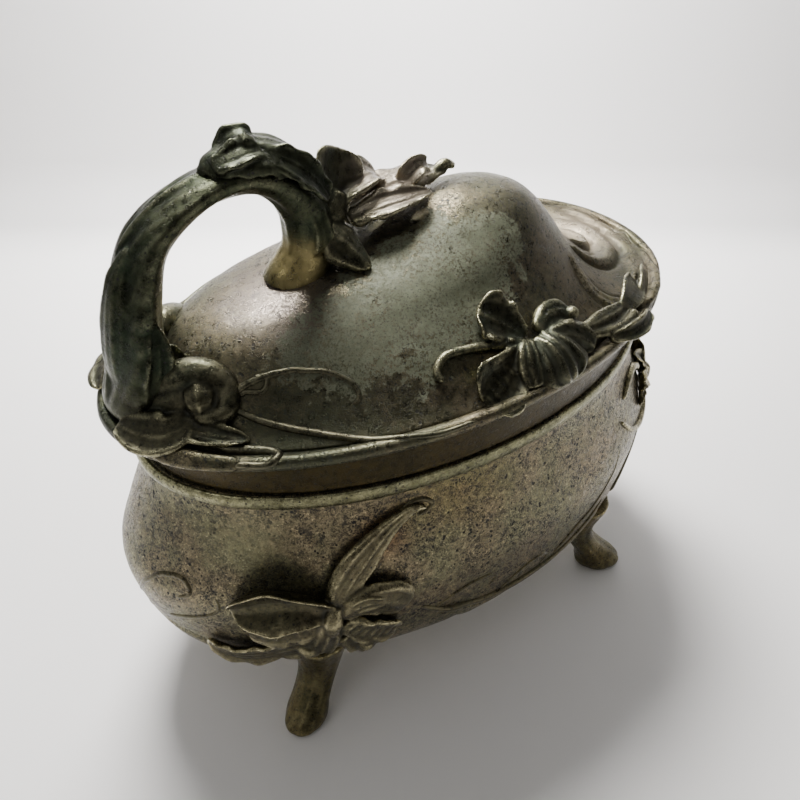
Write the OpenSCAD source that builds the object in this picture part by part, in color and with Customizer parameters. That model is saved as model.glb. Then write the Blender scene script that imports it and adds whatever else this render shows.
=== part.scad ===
// Oval footed jewel casket with a hinged domed lid, a loop handle and cast iris ornament.
// Millimetres. X runs along the box, Y from front to back, Z up from the table.

/* [Size] */
// Length of the lid over its flange
lid_length = 152; // [140:1:164]
// Width of the lid over its flange, front to back
lid_width = 86.8; // [82:0.2:92]
// Height of the mouth rim above the table
rim_height = 80.5; // [76:0.5:86]
// Height of the underside of the body above the table
body_clearance = 20; // [16:0.5:24]
// How far the belly swells past the neck at each end
belly_swell = 11; // [6:0.5:13]
// Height of the dome above the top of the flange
dome_rise = 29.6; // [20:0.2:34]

/* [Walls] */
// Thickness of the cast body and lid walls
wall = 2.2; // [1.6:0.1:2.8]
// Gap between the closed lid and the mouth rim
lid_gap = 0.4; // [0.3:0.05:0.8]
// Height of the lid's upright collar
collar_height = 10.9; // [9.5:0.1:12]

/* [Handle] */
// Height of the handle's top above the dome's crest
handle_rise = 17.2; // [12:0.2:22]
// Width of the handle strap at its widest
handle_width = 19; // [14:0.5:22]

/* [Feet] */
// Distance of each sole's centre from the box's middle, along X
foot_x = 50.6; // [44:0.5:56]
// Distance of each sole's centre from the box's middle, along Y
foot_y = 33.4; // [28:0.5:37]
// Width of a foot at its ankle
foot_width = 8.6; // [6:0.2:11]

/* [Hinge] */
// Radius of the hinge knuckles
knuckle_r = 1.8; // [1.6:0.05:2]
// Radius of the hinge pin
pin_r = 0.8; // [0.6:0.05:1]
// Clearance around the pin in the lid's knuckle
pin_clearance = 0.05; // [0.03:0.01:0.1]
// Half the width of the hinge leaves
leaf_half = 9.2; // [8:0.1:10]

/* [Lining] */
// Thickness of the padded floor
pad_height = 6; // [3:0.5:8]
// Radius of the cord trim
braid_r = 1; // [0.7:0.1:1.2]

/* [View] */
// Turn the lid open for a look
open_angle = 0; // [0:5:100]

/* [Hidden] */
ring_n = 48;
ball_n = 8;
brass = [0.55, 0.50, 0.40];
patina = [0.27, 0.29, 0.24];
steel = [0.60, 0.60, 0.58];
silk = [0.62, 0.50, 0.46];
cord_gold = [0.62, 0.52, 0.32];
neck_a = lid_length / 2 - 7;
neck_b = lid_width / 2 - 3;
side_share = 0.5;
collar_base = rim_height + lid_gap;
flange_under = collar_base + collar_height;
flange_top = flange_under + 3.2;
leaf_t = 0.8;
seat_y = neck_b + 0.5;
pin_y = seat_y + leaf_t + 1.4;
pin_z = rim_height + 0.2;
seat_half = leaf_half + 0.4;
rivet_x = 6;
body_rivet_z = rim_height - 5.2;
lid_rivet_z = flange_under - 3.6;

// Outer profile of the body: height, then how far it stands past the neck.
belly = [
    [body_clearance, -22], [body_clearance + 0.4, -14], [body_clearance + 2, -4],
    [body_clearance + 5, 4], [body_clearance + 10, 8.5 / 12 * belly_swell],
    [body_clearance + 18, 0.9 * belly_swell], [body_clearance + 26, belly_swell],
    [rim_height - 29, 0.95 * belly_swell], [rim_height - 22.5, 0.7 * belly_swell],
    [rim_height - 17, 0.46 * belly_swell], [rim_height - 12.5, 0.265 * belly_swell],
    [rim_height - 8.5, 0.1 * belly_swell], [rim_height - 4.5, 0], [rim_height, 0]
];

// Inner profile of the body, listed from the rim down to the floor.
bowl = [
    [rim_height, -wall], [rim_height - 4.5, -wall], [rim_height - 8.5, 0.1 * belly_swell - wall],
    [rim_height - 12.5, 0.265 * belly_swell - wall], [rim_height - 17, 0.46 * belly_swell - wall],
    [rim_height - 22.5, 0.7 * belly_swell - wall], [rim_height - 29, 0.95 * belly_swell - wall],
    [body_clearance + 26, belly_swell - wall], [body_clearance + 18.3, 0.9 * belly_swell - wall],
    [body_clearance + 11, 8 / 12 * belly_swell - wall], [body_clearance + 7, 1.2],
    [body_clearance + 4.4, -5], [body_clearance + 3, -13], [body_clearance + 2.6, -22]
];

// Dome of the lid from the flange up: left reach, right reach, half width, share of the rise,
// and how much of the flange's lift it takes.
dome = [
    [-0.908, 0.875, 0.928, 0.0, 0.55], [-0.842, 0.755, 0.864, 0.07, 0.2],
    [-0.803, 0.671, 0.772, 0.19, 0], [-0.763, 0.605, 0.668, 0.34, 0],
    [-0.684, 0.56, 0.550, 0.50, 0], [-0.440, 0.513, 0.450, 0.66, 0],
    [-0.170, 0.467, 0.352, 0.79, 0], [0.020, 0.408, 0.250, 0.91, 0],
    [0.110, 0.342, 0.150, 0.975, 0], [0.165, 0.263, 0.046, 1, 0]
];

// One level ring of the body or lid, counted anticlockwise from above.
function oval(xl, xr, b, z) = [
    for (i = [0:ring_n - 1])
        let (t = 360 * i / ring_n)
        [(xl + xr) / 2 + (xr - xl) / 2 * cos(t), b * sin(t), z]
];

// A ring that stands a given distance past the neck.
function neck_ring(out, z) = oval(
    -neck_a - out, neck_a + out, neck_b + side_share * out, z
);

// How far the flange lifts at an angle round the lid: one wave at the back right end.
function flange_lift(t) =
    let (d = (t - 45 + 540) % 360 - 180)
    3.9 * exp(-pow(d / 34, 2));

// How much the flange draws in at an angle round the lid, as it does at the back left.
function flange_reach(t) = 1 - 0.032 * exp(-pow((t - 128) / 34, 2));

// A ring of the lid, given as shares of the flange's size.
function lid_ring(row, inset, drop) =
    let (a = lid_length / 2, b = lid_width / 2)
    let (xl = row[0] * a + inset, xr = row[1] * a - inset)
    [
        for (i = [0:ring_n - 1])
            let (t = 360 * i / ring_n)
            [
                (xl + xr) / 2 + (xr - xl) / 2 * cos(t), (row[2] * b - inset) * sin(t),
                flange_top - 0.6 + row[3] * dome_rise - drop + row[4] * flange_lift(t)
            ]
    ];

// A ring of the flange: distance in from its edge, height and share of the lift.
function flange_ring(inset, z, share) = [
    for (i = [0:ring_n - 1])
        let (t = 360 * i / ring_n)
        [
            (lid_length / 2 * flange_reach(t) - inset) * cos(t),
            (lid_width / 2 * flange_reach(t) - inset) * sin(t),
            z + share * flange_lift(t)
        ]
];

// A point on the body: angle round the oval, height, distance out from the surface, ball radius.
function on_body(p) =
    let (out = lookup(p[1], belly) + p[2])
    [(neck_a + out) * cos(p[0]), (neck_b + side_share * out) * sin(p[0]), p[1], p[3]];

// Skin through a stack of rings, closed by flat caps or joined end to end.
module loft(rings, loop = false) {
    n = len(rings[0]);
    m = len(rings);
    points = [for (r = rings, p = r) p];
    last = loop ? m - 1 : m - 2;
    sides = [
        for (k = [0:last], i = [0:n - 1])
            let (j = (i + 1) % n, q = (k + 1) % m)
            each [
                [k * n + i, q * n + i, q * n + j],
                [k * n + i, q * n + j, k * n + j]
            ]
    ];
    caps = loop ? [] : [
        [for (i = [0:n - 1]) i],
        [for (i = [n - 1:-1:0]) (m - 1) * n + i]
    ];
    polyhedron(points = points, faces = concat(sides, caps), convexity = 6);
}

// A rounded branch through balls given as x, y, z, radius.
module branch(balls) {
    for (k = [0:len(balls) - 2])
        hull() {
            translate([balls[k].x, balls[k].y, balls[k].z])
                sphere(r = balls[k][3], $fn = ball_n);
            translate([balls[k + 1].x, balls[k + 1].y, balls[k + 1].z])
                sphere(r = balls[k + 1][3], $fn = ball_n);
        }
}

// Solid inside of the body up to a height, used to trim what is cast onto it.
module body_core(inset, top) {
    loft([
        for (s = belly)
            if (s[0] <= top) neck_ring(s[1] - inset, max(s[0], body_clearance + inset))
    ]);
}

// Solid inside of the lid, used to trim what is cast onto it.
module lid_core() {
    loft(concat(
        [flange_ring(8, flange_under - 12, 0)],
        [flange_ring(1.5, flange_under - 0.6, 1)],
        [flange_ring(1.5, flange_top - 1.2, 1)],
        [for (row = dome) lid_ring(row, 0.6, 0.7)]
    ));
}

// Cross-drilled holes for the two rivets of a hinge leaf.
module rivet_holes(z) {
    for (side = [-1, 1])
        translate([side * rivet_x, neck_b - wall - 4, z])
            rotate([-90, 0, 0])
                cylinder(r = 0.9, h = 12, $fn = 32);
}

module body_shell() {
    color(brass)
    difference() {
        union() {
            loft(concat(
                [for (s = belly) neck_ring(s[1], s[0])],
                [for (s = bowl) neck_ring(s[1], s[0])]
            ));
            translate([-seat_half, neck_b - 1.2, rim_height - 8])
                cube([2 * seat_half, seat_y - neck_b + 1.2, 7.7]);
        }
        rivet_holes(body_rivet_z);
    }
}

module rim_bead() {
    color(brass)
    difference() {
        loft([
            neck_ring(0.02, rim_height - 3.6),
            neck_ring(0.9, rim_height - 3.5),
            neck_ring(1.5, rim_height - 2.6),
            neck_ring(1.7, rim_height - 1.4),
            neck_ring(1.4, rim_height - 0.2),
            neck_ring(0.8, rim_height + 0.4),
            neck_ring(0.3, rim_height + 0.1),
            neck_ring(0.02, rim_height - 0.6)
        ], loop = true);
        translate([-seat_half - 0.2, 20, rim_height - 6])
            cube([2 * seat_half + 0.4, 40, 10]);
    }
}

// One cast leg: rings from the sole up to where it runs into the belly.
module foot(sx, sy) {
    w = foot_width;
    ux = 0.83 * sx;
    uy = 0.56 * sy;
    // Height, distance out from the sole's centre, half length outward, half width.
    stations = [
        [0, 0.6, 0.70 * w, 0.56 * w], [1.6, 1.0, 0.80 * w, 0.60 * w],
        [3.6, 0.4, 0.68 * w, 0.57 * w], [6, -1.6, 0.48 * w, 0.50 * w],
        [10, -4.8, 0.48 * w, 0.58 * w], [15, -6.8, 0.54 * w, 0.66 * w],
        [20, -7.6, 0.64 * w, 0.76 * w], [25, -7.4, 0.76 * w, 0.88 * w],
        [30, -6.4, 0.80 * w, 0.92 * w]
    ];
    difference() {
        loft([
            for (s = stations)
                [
                    for (i = [0:11])
                        let (t = 30 * i, p = s[2] * cos(t), q = s[3] * sin(t))
                        [
                            sx * foot_x + ux * (s[1] + p) - uy * q,
                            sy * foot_y + uy * (s[1] + p) + ux * q, s[0]
                        ]
                ]
        ]);
        body_core(1, body_clearance + 26);
    }
}

module foot_front_left() {
    color(brass)
    foot(-1, -1);
}

module foot_front_right() {
    color(brass)
    foot(1, -1);
}

module foot_back_left() {
    color(brass)
    foot(-1, 1);
}

module foot_back_right() {
    color(brass)
    foot(1, 1);
}

// One corner bloom: long sepal, cupped petals, falls, knot and leaf, trimmed to the wall.
module corner_iris() {
    sepal = [[-124, 46, 3, 3], [-121, 56, 3, 3.2], [-116, 65, 2, 2.6], [-110, 71, 1.4, 1.6]];
    cup = [[-126, 51, 3, 3.6], [-133, 57, 3.6, 4.2], [-139, 57, 3, 3.8], [-144, 51, 1.4, 2.8]];
    wing = [[-121, 50, 3, 3.6], [-115, 51, 3.2, 4], [-110, 46, 2, 3.4], [-110, 39, 1, 2.6]];
    fall_left = [[-126, 45, 3, 3.4], [-134, 44, 3, 3.8], [-141, 42, 1, 2.8]];
    fall_right = [[-120, 42, 3, 3.4], [-115, 38, 3, 3.6], [-111, 34, 1, 2.6]];
    knot = [[-124, 44, 4, 4], [-125, 37, 2.6, 3.8], [-127, 31, 2, 3.4]];
    leaf = [[-128, 35, 1.4, 2.8], [-137, 33, 1.2, 2.4], [-146, 37, 0.4, 1.8]];
    difference() {
        for (part = [sepal, cup, wing, fall_left, fall_right, knot, leaf])
            branch([for (p = part) on_body(p)]);
        body_core(1, rim_height);
    }
}

module iris_front_left() {
    color(brass)
    corner_iris();
}

module iris_back_right() {
    color(brass)
    rotate([0, 0, 180])
        corner_iris();
}

// The smaller bloom high on the end of the body, with its two tendrils.
module end_bloom() {
    heart = [[-22, 53, 1, 2.8], [-21, 59, 2.4, 3.6], [-25, 65, 1.6, 3]];
    lip = [[-19, 58, 2, 3.4], [-14, 63, 1.6, 3], [-9, 65, 0.8, 2]];
    drop = [[-22, 56, 2, 3.4], [-18, 51, 1.6, 2.8], [-15, 46, 0.6, 1.8]];
    side = [[-24, 57, 1.6, 3], [-31, 58, 1.2, 2.6], [-35, 55, 0.6, 1.6]];
    low = [[-24, 54, 1, 1.6], [-34, 50, 0.8, 1.4], [-45, 53, 0.6, 1.3], [-50, 60, 0.4, 1.2]];
    high = [[-27, 63, 1, 1.6], [-37, 67, 0.8, 1.4], [-46, 65, 0.6, 1.2]];
    difference() {
        for (part = [heart, lip, drop, side, low, high])
            branch([for (p = part) on_body(p)]);
        body_core(1, rim_height);
    }
}

module bloom_right() {
    color(brass)
    end_bloom();
}

// One hinge knuckle along X, without its bore.
module knuckle(x0, x1) {
    translate([x0, pin_y, pin_z])
        rotate([0, 90, 0])
            cylinder(r = knuckle_r, h = x1 - x0, $fn = 48);
}

module hinge_leaf_body() {
    inner = 3.45;
    color(steel)
    difference() {
        union() {
            translate([-leaf_half, seat_y, rim_height - 8])
                cube([2 * leaf_half, leaf_t, 5.6]);
            for (side = [-1, 1]) {
                translate([side > 0 ? inner : -leaf_half, seat_y, rim_height - 4])
                    cube([leaf_half - inner, leaf_t, 3.7]);
                translate([side > 0 ? inner : -leaf_half, seat_y, pin_z - 1.6])
                    cube([leaf_half - inner, pin_y - seat_y, 1.1]);
                knuckle(side > 0 ? inner : -leaf_half, side > 0 ? leaf_half : -inner);
            }
        }
        translate([-20, pin_y, pin_z])
            rotate([0, 90, 0])
                cylinder(r = pin_r, h = 40, $fn = 48);
        rivet_holes(body_rivet_z);
    }
}

module hinge_leaf_lid() {
    tongue = 3.2;
    color(steel)
    difference() {
        union() {
            translate([-leaf_half, seat_y, pin_z + 2.3])
                cube([2 * leaf_half, leaf_t, flange_under - pin_z - 3]);
            translate([-tongue, seat_y, pin_z + 0.4])
                cube([2 * tongue, leaf_t, 2.4]);
            translate([-tongue, seat_y, pin_z + 0.5])
                cube([2 * tongue, pin_y - seat_y, 1.1]);
            knuckle(-tongue, tongue);
        }
        translate([-20, pin_y, pin_z])
            rotate([0, 90, 0])
                cylinder(r = pin_r + pin_clearance, h = 40, $fn = 48);
        rivet_holes(lid_rivet_z);
    }
}

module hinge_pin() {
    color(steel)
    union() {
        translate([-leaf_half - 0.8, pin_y, pin_z])
            rotate([0, 90, 0])
                cylinder(r = pin_r, h = 2 * leaf_half + 1.6, $fn = 48);
        for (side = [-1, 1])
            translate([side * (leaf_half + 0.5), pin_y, pin_z])
                rotate([0, 90, 0])
                    cylinder(r = pin_r + 0.45, h = 0.9, center = true, $fn = 48);
    }
}

// The two rivets of a leaf: a shank that ends inside the wall, and the domed outer head.
module rivets(z) {
    shank_end = neck_b - side_share * wall + 0.2;
    for (side = [-1, 1])
        translate([side * rivet_x, 0, z])
            rotate([-90, 0, 0]) {
                translate([0, 0, shank_end])
                    cylinder(r = 0.9, h = seat_y + leaf_t + 0.2 - shank_end, $fn = 32);
                translate([0, 0, seat_y + leaf_t])
                    cylinder(r1 = 1.7, r2 = 0.9, h = 0.7, $fn = 32);
            }
}

module body_rivets() {
    color(steel)
    rivets(body_rivet_z);
}

module lid_rivets() {
    color(steel)
    rivets(lid_rivet_z);
}

module floor_pad() {
    base = body_clearance + 2.7;
    color(silk)
    loft([
        neck_ring(-24, base), neck_ring(-15, base + 0.6), neck_ring(-8, base + 1.6),
        neck_ring(-4.4, base + 2.9), neck_ring(-3.6, base + 0.62 * pad_height),
        neck_ring(-6, base + 0.84 * pad_height), neck_ring(-14, base + 0.95 * pad_height),
        neck_ring(-28, base + pad_height)
    ]);
}

module wall_lining() {
    outer = [for (s = bowl) if (s[0] > body_clearance + 10 && s[0] < rim_height - 1) s];
    n = len(outer);
    color(silk)
    loft(concat(
        [for (k = [n - 1:-1:0]) neck_ring(outer[k][1] - 0.25, outer[k][0])],
        [neck_ring(-wall - 0.25, rim_height - 2), neck_ring(-wall - 0.95, rim_height - 2)],
        [for (s = outer) neck_ring(s[1] - 0.95, s[0])]
    ), loop = true);
}

// A cord laid round the oval: a ring of round section.
module cord_ring(out, z, r) {
    color(cord_gold)
    loft([
        for (k = [0:7])
            neck_ring(out - r * cos(45 * k), z + r * sin(45 * k))
    ], loop = true);
}

module mouth_braid() {
    cord_ring(-wall - 1.1 - braid_r, rim_height - 2 - braid_r, braid_r);
}

module lid_shell() {
    color(patina)
    loft(concat(
        [for (k = [len(dome) - 1:-1:0]) if (dome[k][3] > 0.1) lid_ring(dome[k], wall, wall)],
        [oval(-neck_a + wall + 1.6, neck_a - wall - 4, neck_b - wall - 1.2, flange_under + 1.2)],
        [neck_ring(-wall - 0.6, flange_under), neck_ring(-0.5, flange_under)],
        [flange_ring(1.6, flange_under, 1), flange_ring(0.2, flange_under + 0.7, 1)],
        [flange_ring(0, flange_under + 1.8, 1), flange_ring(0.6, flange_top - 0.3, 1)],
        [flange_ring(1.8, flange_top, 1), flange_ring(3.4, flange_top - 0.7, 0.9)],
        [for (row = dome) lid_ring(row, 0, 0)]
    ));
}

module lid_collar() {
    color(brass)
    difference() {
        union() {
            loft([
                neck_ring(-0.6, collar_base), neck_ring(-0.6, flange_under),
                neck_ring(-0.6 - wall, flange_under), neck_ring(-0.6 - wall, collar_base)
            ], loop = true);
            translate([-seat_half, neck_b - 1.6, pin_z + 2.2])
                cube([2 * seat_half, seat_y - neck_b + 1.6, flange_under - pin_z - 2.2]);
        }
        rivet_holes(lid_rivet_z);
    }
}

// Loop handle: a broad leaf-shaped strap that narrows to a post on the dome.
module handle() {
    hw = handle_width;
    top = flange_top - 0.6 + dome_rise + handle_rise - 1.4;
    // Along X, down from the top, strap width, strap thickness.
    stations = [
        [-68.5, 46.5, 0.95 * hw, 11], [-67, 40, 1.0 * hw, 11], [-65, 33, 1.0 * hw, 10.5],
        [-62.6, 21.6, 0.92 * hw, 9.6], [-58, 10, 0.74 * hw, 7.4], [-51, 4.2, 0.62 * hw, 6],
        [-43.6, 1, 0.56 * hw, 5.6], [-36, 0.8, 0.52 * hw, 6.4], [-30, 4, 0.50 * hw, 7.4],
        [-26.4, 9.4, 0.48 * hw, 8], [-25, 16, 0.48 * hw, 8.4], [-24.4, 24, 0.66 * hw, 13]
    ];
    n = len(stations);
    color(patina)
    difference() {
        loft([
            for (k = [0:n - 1])
                let (
                    s = stations[k], a = stations[max(k - 1, 0)], b = stations[min(k + 1, n - 1)],
                    dx = b[0] - a[0], dz = a[1] - b[1], l = sqrt(dx * dx + dz * dz)
                )
                [
                    for (i = [0:11])
                        let (t = 30 * i, q = s[3] / 2 * cos(t))
                        [
                            s[0] + dz / l * q, s[2] / 2 * sin(t),
                            top - s[1] - dx / l * q
                        ]
                ]
        ]);
        lid_core();
    }
}

// Leaf and bud cluster that lies along the top of the handle.
module handle_leaves() {
    color(patina)
    union() {
        branch([[-44, 0, 142, 2.6], [-40, -1, 143.6, 3.2], [-36, -1, 144.2, 3.4], [-31, 0, 142, 3]]);
        branch([[-42, -1, 143, 2.4], [-38, -2, 145, 2.4], [-34.6, -2, 145.6, 2]]);
        branch([[-44, 2, 141, 2.4], [-38, 3, 142.6, 3], [-32, 3, 141, 3]]);
        branch([[-31, 0, 142, 3], [-26, -2, 139, 3.2], [-21, -3, 134, 3]]);
        branch([[-32, 2, 141, 3], [-26, 2, 138.6, 3.2], [-20, 1, 133, 3]]);
    }
}

// Bloom where the handle lands: one petal stands, the others lie along the crest.
module dome_iris() {
    color(patina)
    difference() {
        union() {
            branch([[-18, 0, 128, 5], [-16, 2, 133, 4.6], [-14, 4, 137.4, 3]]);
            branch([[-18, 0, 128, 5], [-11, 3, 129, 4.4], [-5, 5, 128.6, 3]]);
            branch([[-14, 2, 125, 5], [-4, 3, 125.6, 4.4], [6, 5, 125.4, 3.4], [14, 6, 125, 2]]);
            branch([[-14, -1, 124, 4.6], [-4, -2, 124.4, 3.8], [5, -1, 124.6, 2.4]]);
            branch([[-20, -3, 124, 4.6], [-17, -6, 121, 3.6], [-15, -9, 118.6, 2.4]]);
            branch([[-14, 6, 122, 4], [-5, 9, 121, 3.4], [3, 10, 121, 2.4]]);
        }
        lid_core();
    }
}

// Bloom on the front of the lid, with its falls turned over the flange.
module lid_iris() {
    color(patina)
    difference() {
        union() {
            branch([[12, -33, 100, 4.6], [7, -29, 104.4, 3.6], [1, -27, 107.4, 3]]);
            branch([[12, -33, 100, 4.4], [4, -34, 100, 3], [-6, -32.4, 101.4, 2]]);
            branch([[11, -35, 98.6, 4], [4, -38, 96.4, 3.6], [-3, -38, 96, 3]]);
            branch([[13, -35, 98.6, 4.8], [12, -39, 96, 4.6], [12.4, -41, 93.6, 3]]);
            branch([[15, -34, 98.4, 4.6], [20, -37, 96, 4.2], [23, -38.6, 94.4, 2.6]]);
            branch([[14, -33, 99.6, 4.4], [21, -33, 98.6, 3.4], [27, -33.6, 97, 2.6]]);
            branch([[14, -32, 101, 4], [18, -28.6, 102.6, 3], [21, -26.6, 103.4, 2.2]]);
        }
        lid_core();
    }
}

// Bud on its bent stem, at the right of the lid's bloom.
module lid_bud() {
    color(patina)
    difference() {
        union() {
            branch([[27, -33.6, 97, 2], [33, -35, 96, 1.7], [40, -34.4, 95.6, 1.7]]);
            branch([[40, -34.4, 95.6, 1.7], [46, -31.4, 96, 2.4], [50, -29, 96, 2.4]]);
            branch([[38, -33, 96.4, 1.6], [40, -29, 98, 1.8], [43, -26.6, 97.6, 1.5]]);
            branch([[33, -33, 96.6, 1.5], [34, -29.4, 98.6, 1.6], [38, -27, 98.6, 1.4]]);
            branch([[50, -29, 96, 2.4], [54, -26, 96, 1.8], [57, -22.6, 96, 1.2]]);
        }
        lid_core();
    }
}

// Scroll and leaf that tie the handle's root to the left end of the lid.
module handle_volute() {
    color(patina)
    difference() {
        union() {
            branch([[-66, -6, 97, 5], [-62, -9, 100, 5], [-57, -10, 102.6, 4.4]]);
            branch([[-57, -10, 102.6, 4.4], [-54, -13, 101, 3.8], [-56, -16, 98.4, 3.4]]);
            branch([[-66, -6, 97, 5], [-69, -10, 95.6, 3.4], [-70, -14, 94.6, 2.4]]);
            branch([[-64, -12, 96, 3.6], [-60, -18, 95.6, 3.2], [-54, -23, 95.6, 2.4]]);
            branch([[-66, 6, 97, 5], [-62, 9, 100, 4.6], [-58, 11, 101, 3.6]]);
            branch([[-66, 6, 97, 5], [-69, 10, 95.6, 3.4], [-68, 15, 94.8, 2.4]]);
        }
        lid_core();
    }
}

module lid_lining() {
    rows = [for (row = dome) if (row[3] > 0.1) row];
    n = len(rows);
    color(silk)
    loft(concat(
        [for (k = [n - 1:-1:0]) lid_ring(rows[k], wall + 1.2, wall + 1.4)],
        [neck_ring(-wall - 5, flange_under + 0.6), neck_ring(-wall - 1.6, flange_under - 1.6)],
        [neck_ring(-wall - 1.6, collar_base + 4), neck_ring(-wall - 0.9, collar_base + 4)],
        [neck_ring(-wall - 0.9, flange_under - 1)],
        [oval(-neck_a + wall + 2.4, neck_a - wall - 4.8, neck_b - wall - 2, flange_under + 0.9)],
        [for (row = rows) lid_ring(row, wall + 0.3, wall + 0.4)]
    ));
}

module lid_braid() {
    cord_ring(-wall - 0.8 - braid_r, collar_base + 2.8, braid_r);
}

// Turns what belongs to the lid about the hinge pin, for the preview only.
module on_lid() {
    translate([0, pin_y, pin_z])
        rotate([-open_angle, 0, 0])
            translate([0, -pin_y, -pin_z])
                children();
}

body_shell();
rim_bead();
foot_front_left();
foot_front_right();
foot_back_left();
foot_back_right();
iris_front_left();
iris_back_right();
bloom_right();
hinge_leaf_body();
hinge_pin();
body_rivets();
floor_pad();
wall_lining();
mouth_braid();
on_lid() lid_shell();
on_lid() lid_collar();
on_lid() handle();
on_lid() handle_leaves();
on_lid() dome_iris();
on_lid() lid_iris();
on_lid() lid_bud();
on_lid() handle_volute();
on_lid() hinge_leaf_lid();
on_lid() lid_rivets();
on_lid() lid_lining();
on_lid() lid_braid();
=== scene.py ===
"""Looks of an oval cast jewel casket: bombe body, domed lid, loop handle, iris ornament and silk lining."""

import logging
import math
from dataclasses import dataclass
from enum import Enum
from typing import Callable, Iterable, Sequence

import bmesh
import bpy
import numpy as np
from mathutils import Matrix, Vector


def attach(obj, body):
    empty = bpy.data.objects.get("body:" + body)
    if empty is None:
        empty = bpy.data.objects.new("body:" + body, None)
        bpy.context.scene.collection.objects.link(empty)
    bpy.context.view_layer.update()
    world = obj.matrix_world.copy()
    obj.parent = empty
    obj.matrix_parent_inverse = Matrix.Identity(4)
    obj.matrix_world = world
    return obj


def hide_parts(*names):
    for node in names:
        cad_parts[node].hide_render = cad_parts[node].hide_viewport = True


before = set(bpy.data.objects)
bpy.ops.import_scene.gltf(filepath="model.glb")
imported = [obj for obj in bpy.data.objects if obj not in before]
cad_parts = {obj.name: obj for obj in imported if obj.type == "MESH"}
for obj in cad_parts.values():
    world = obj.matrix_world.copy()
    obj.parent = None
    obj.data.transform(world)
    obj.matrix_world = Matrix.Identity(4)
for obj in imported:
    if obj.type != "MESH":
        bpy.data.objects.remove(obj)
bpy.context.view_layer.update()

LOG = logging.getLogger("casket")
MM = 0.001
Array = np.ndarray


# --------------------------------------------------------------------------- named options


class Body(str, Enum):
    """The two rigid bodies of the frame."""

    BOX = "box"
    LID = "lid"


class Slot(str, Enum):
    """The record's material slots, named with each new mesh but not applied to it."""

    CAST_BODY = "cast_body"
    CAST_LID = "cast_lid"
    ORNAMENT = "cast_ornament"
    RIM = "rim_metal"
    SILK = "silk"
    BRAID = "braid"


class Form(Enum):
    """Cross-sections a line of relief can have."""

    CORD = "cord"
    LEAF = "leaf"
    RIDGE = "ridge"
    SWELL = "swell"


# --------------------------------------------------------------------------- measurements


@dataclass(frozen=True)
class Casket:
    """Leading sizes in millimetres, the same as the CAD model's.

    Attributes:
        lid_a: half the lid's length over the flange.
        lid_b: half the lid's width over the flange.
        neck_a: half the length of the body's neck.
        neck_b: half the width of the body's neck.
        rim: height of the mouth rim.
        under: height of the body's underside.
        wall: wall thickness.
        gap: gap between rim and collar.
        collar: height of the collar.
        rise: height of the dome over the flange.
        share: how much of an end's swell the sides take.
    """

    lid_a: float = 76.0
    lid_b: float = 43.4
    neck_a: float = 69.0
    neck_b: float = 40.4
    rim: float = 80.5
    under: float = 20.0
    wall: float = 2.2
    gap: float = 0.4
    collar: float = 10.9
    rise: float = 29.6
    share: float = 0.5

    @property
    def collar_base(self) -> float:
        """Height of the collar's lower edge.

        Returns:
            The height, in millimetres.
        """
        return self.rim + self.gap

    @property
    def flange_under(self) -> float:
        """Height of the underside of the flange.

        Returns:
            The height, in millimetres.
        """
        return self.collar_base + self.collar

    @property
    def flange_top(self) -> float:
        """Height of the top of the flange's rolled edge.

        Returns:
            The height, in millimetres.
        """
        return self.flange_under + 3.2

    @property
    def dome_base(self) -> float:
        """Height the dome rises from.

        Returns:
            The height, in millimetres.
        """
        return self.flange_top - 0.6

    @property
    def crest(self) -> float:
        """Height of the dome's crest.

        Returns:
            The height, in millimetres.
        """
        return self.dome_base + self.rise

    @property
    def crest_x(self) -> float:
        """Place of the crest along X.

        Returns:
            The place, in millimetres.
        """
        return 0.214 * self.lid_a


SIZE = Casket()

# The flat seat of the hinge leaves: half its width, and how far it stands past the neck.
SEAT_HALF, SEAT_OUT = 10.4, 0.47

# Points nearer than this many metres are one; a face under this many square metres is flat.
WELD, FLAT = 2e-6, 1e-13

# Share of each column of a lid station when the spacing of rings is measured.
STATION_WEIGHTS = (0.5, 0.5, 0.6, 1, 0, 0)

# Height and distance past the neck, from the underside up to the rim.
BELLY = (
    (20.0, -22.0), (20.4, -14.0), (22.0, -4.0), (25.0, 4.0), (30.0, 7.8), (38.0, 9.9), (46.0, 11.0),
    (51.5, 10.45), (58.0, 7.7), (63.5, 5.06), (68.0, 2.9), (72.0, 1.1), (76.0, 0.0), (80.5, 0.0),
)

# Dome rows: left reach, right reach, half width, share of the rise, share of the flange's lift.
DOME = (
    (-0.908, 0.875, 0.928, 0.0, 0.55), (-0.842, 0.755, 0.864, 0.07, 0.2), (-0.803, 0.671, 0.772, 0.19, 0.0),
    (-0.763, 0.605, 0.668, 0.34, 0.0), (-0.684, 0.56, 0.55, 0.50, 0.0), (-0.44, 0.513, 0.45, 0.66, 0.0),
    (-0.17, 0.467, 0.352, 0.79, 0.0), (0.02, 0.408, 0.25, 0.91, 0.0), (0.11, 0.342, 0.15, 0.975, 0.0),
    (0.165, 0.263, 0.046, 1.0, 0.0),
)


def belly_out(z: Array | float) -> Array:
    """Distance past the neck of the body's outer wall.

    Args:
        z: height or heights in millimetres.

    Returns:
        The distance, in millimetres.
    """
    return np.interp(z, [s[0] for s in BELLY], [s[1] for s in BELLY])


def on_body(angle: float, z: float, out: float = 0.0) -> Array:
    """A point on the body's outer wall.

    Args:
        angle: angle round the oval in degrees, anticlockwise from the right end.
        z: height.
        out: distance the point stands off the wall.

    Returns:
        The point, in millimetres.
    """
    o = float(belly_out(z)) + out
    t = math.radians(angle)
    return np.array([(SIZE.neck_a + o) * math.cos(t), (SIZE.neck_b + SIZE.share * o) * math.sin(t), z])


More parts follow.
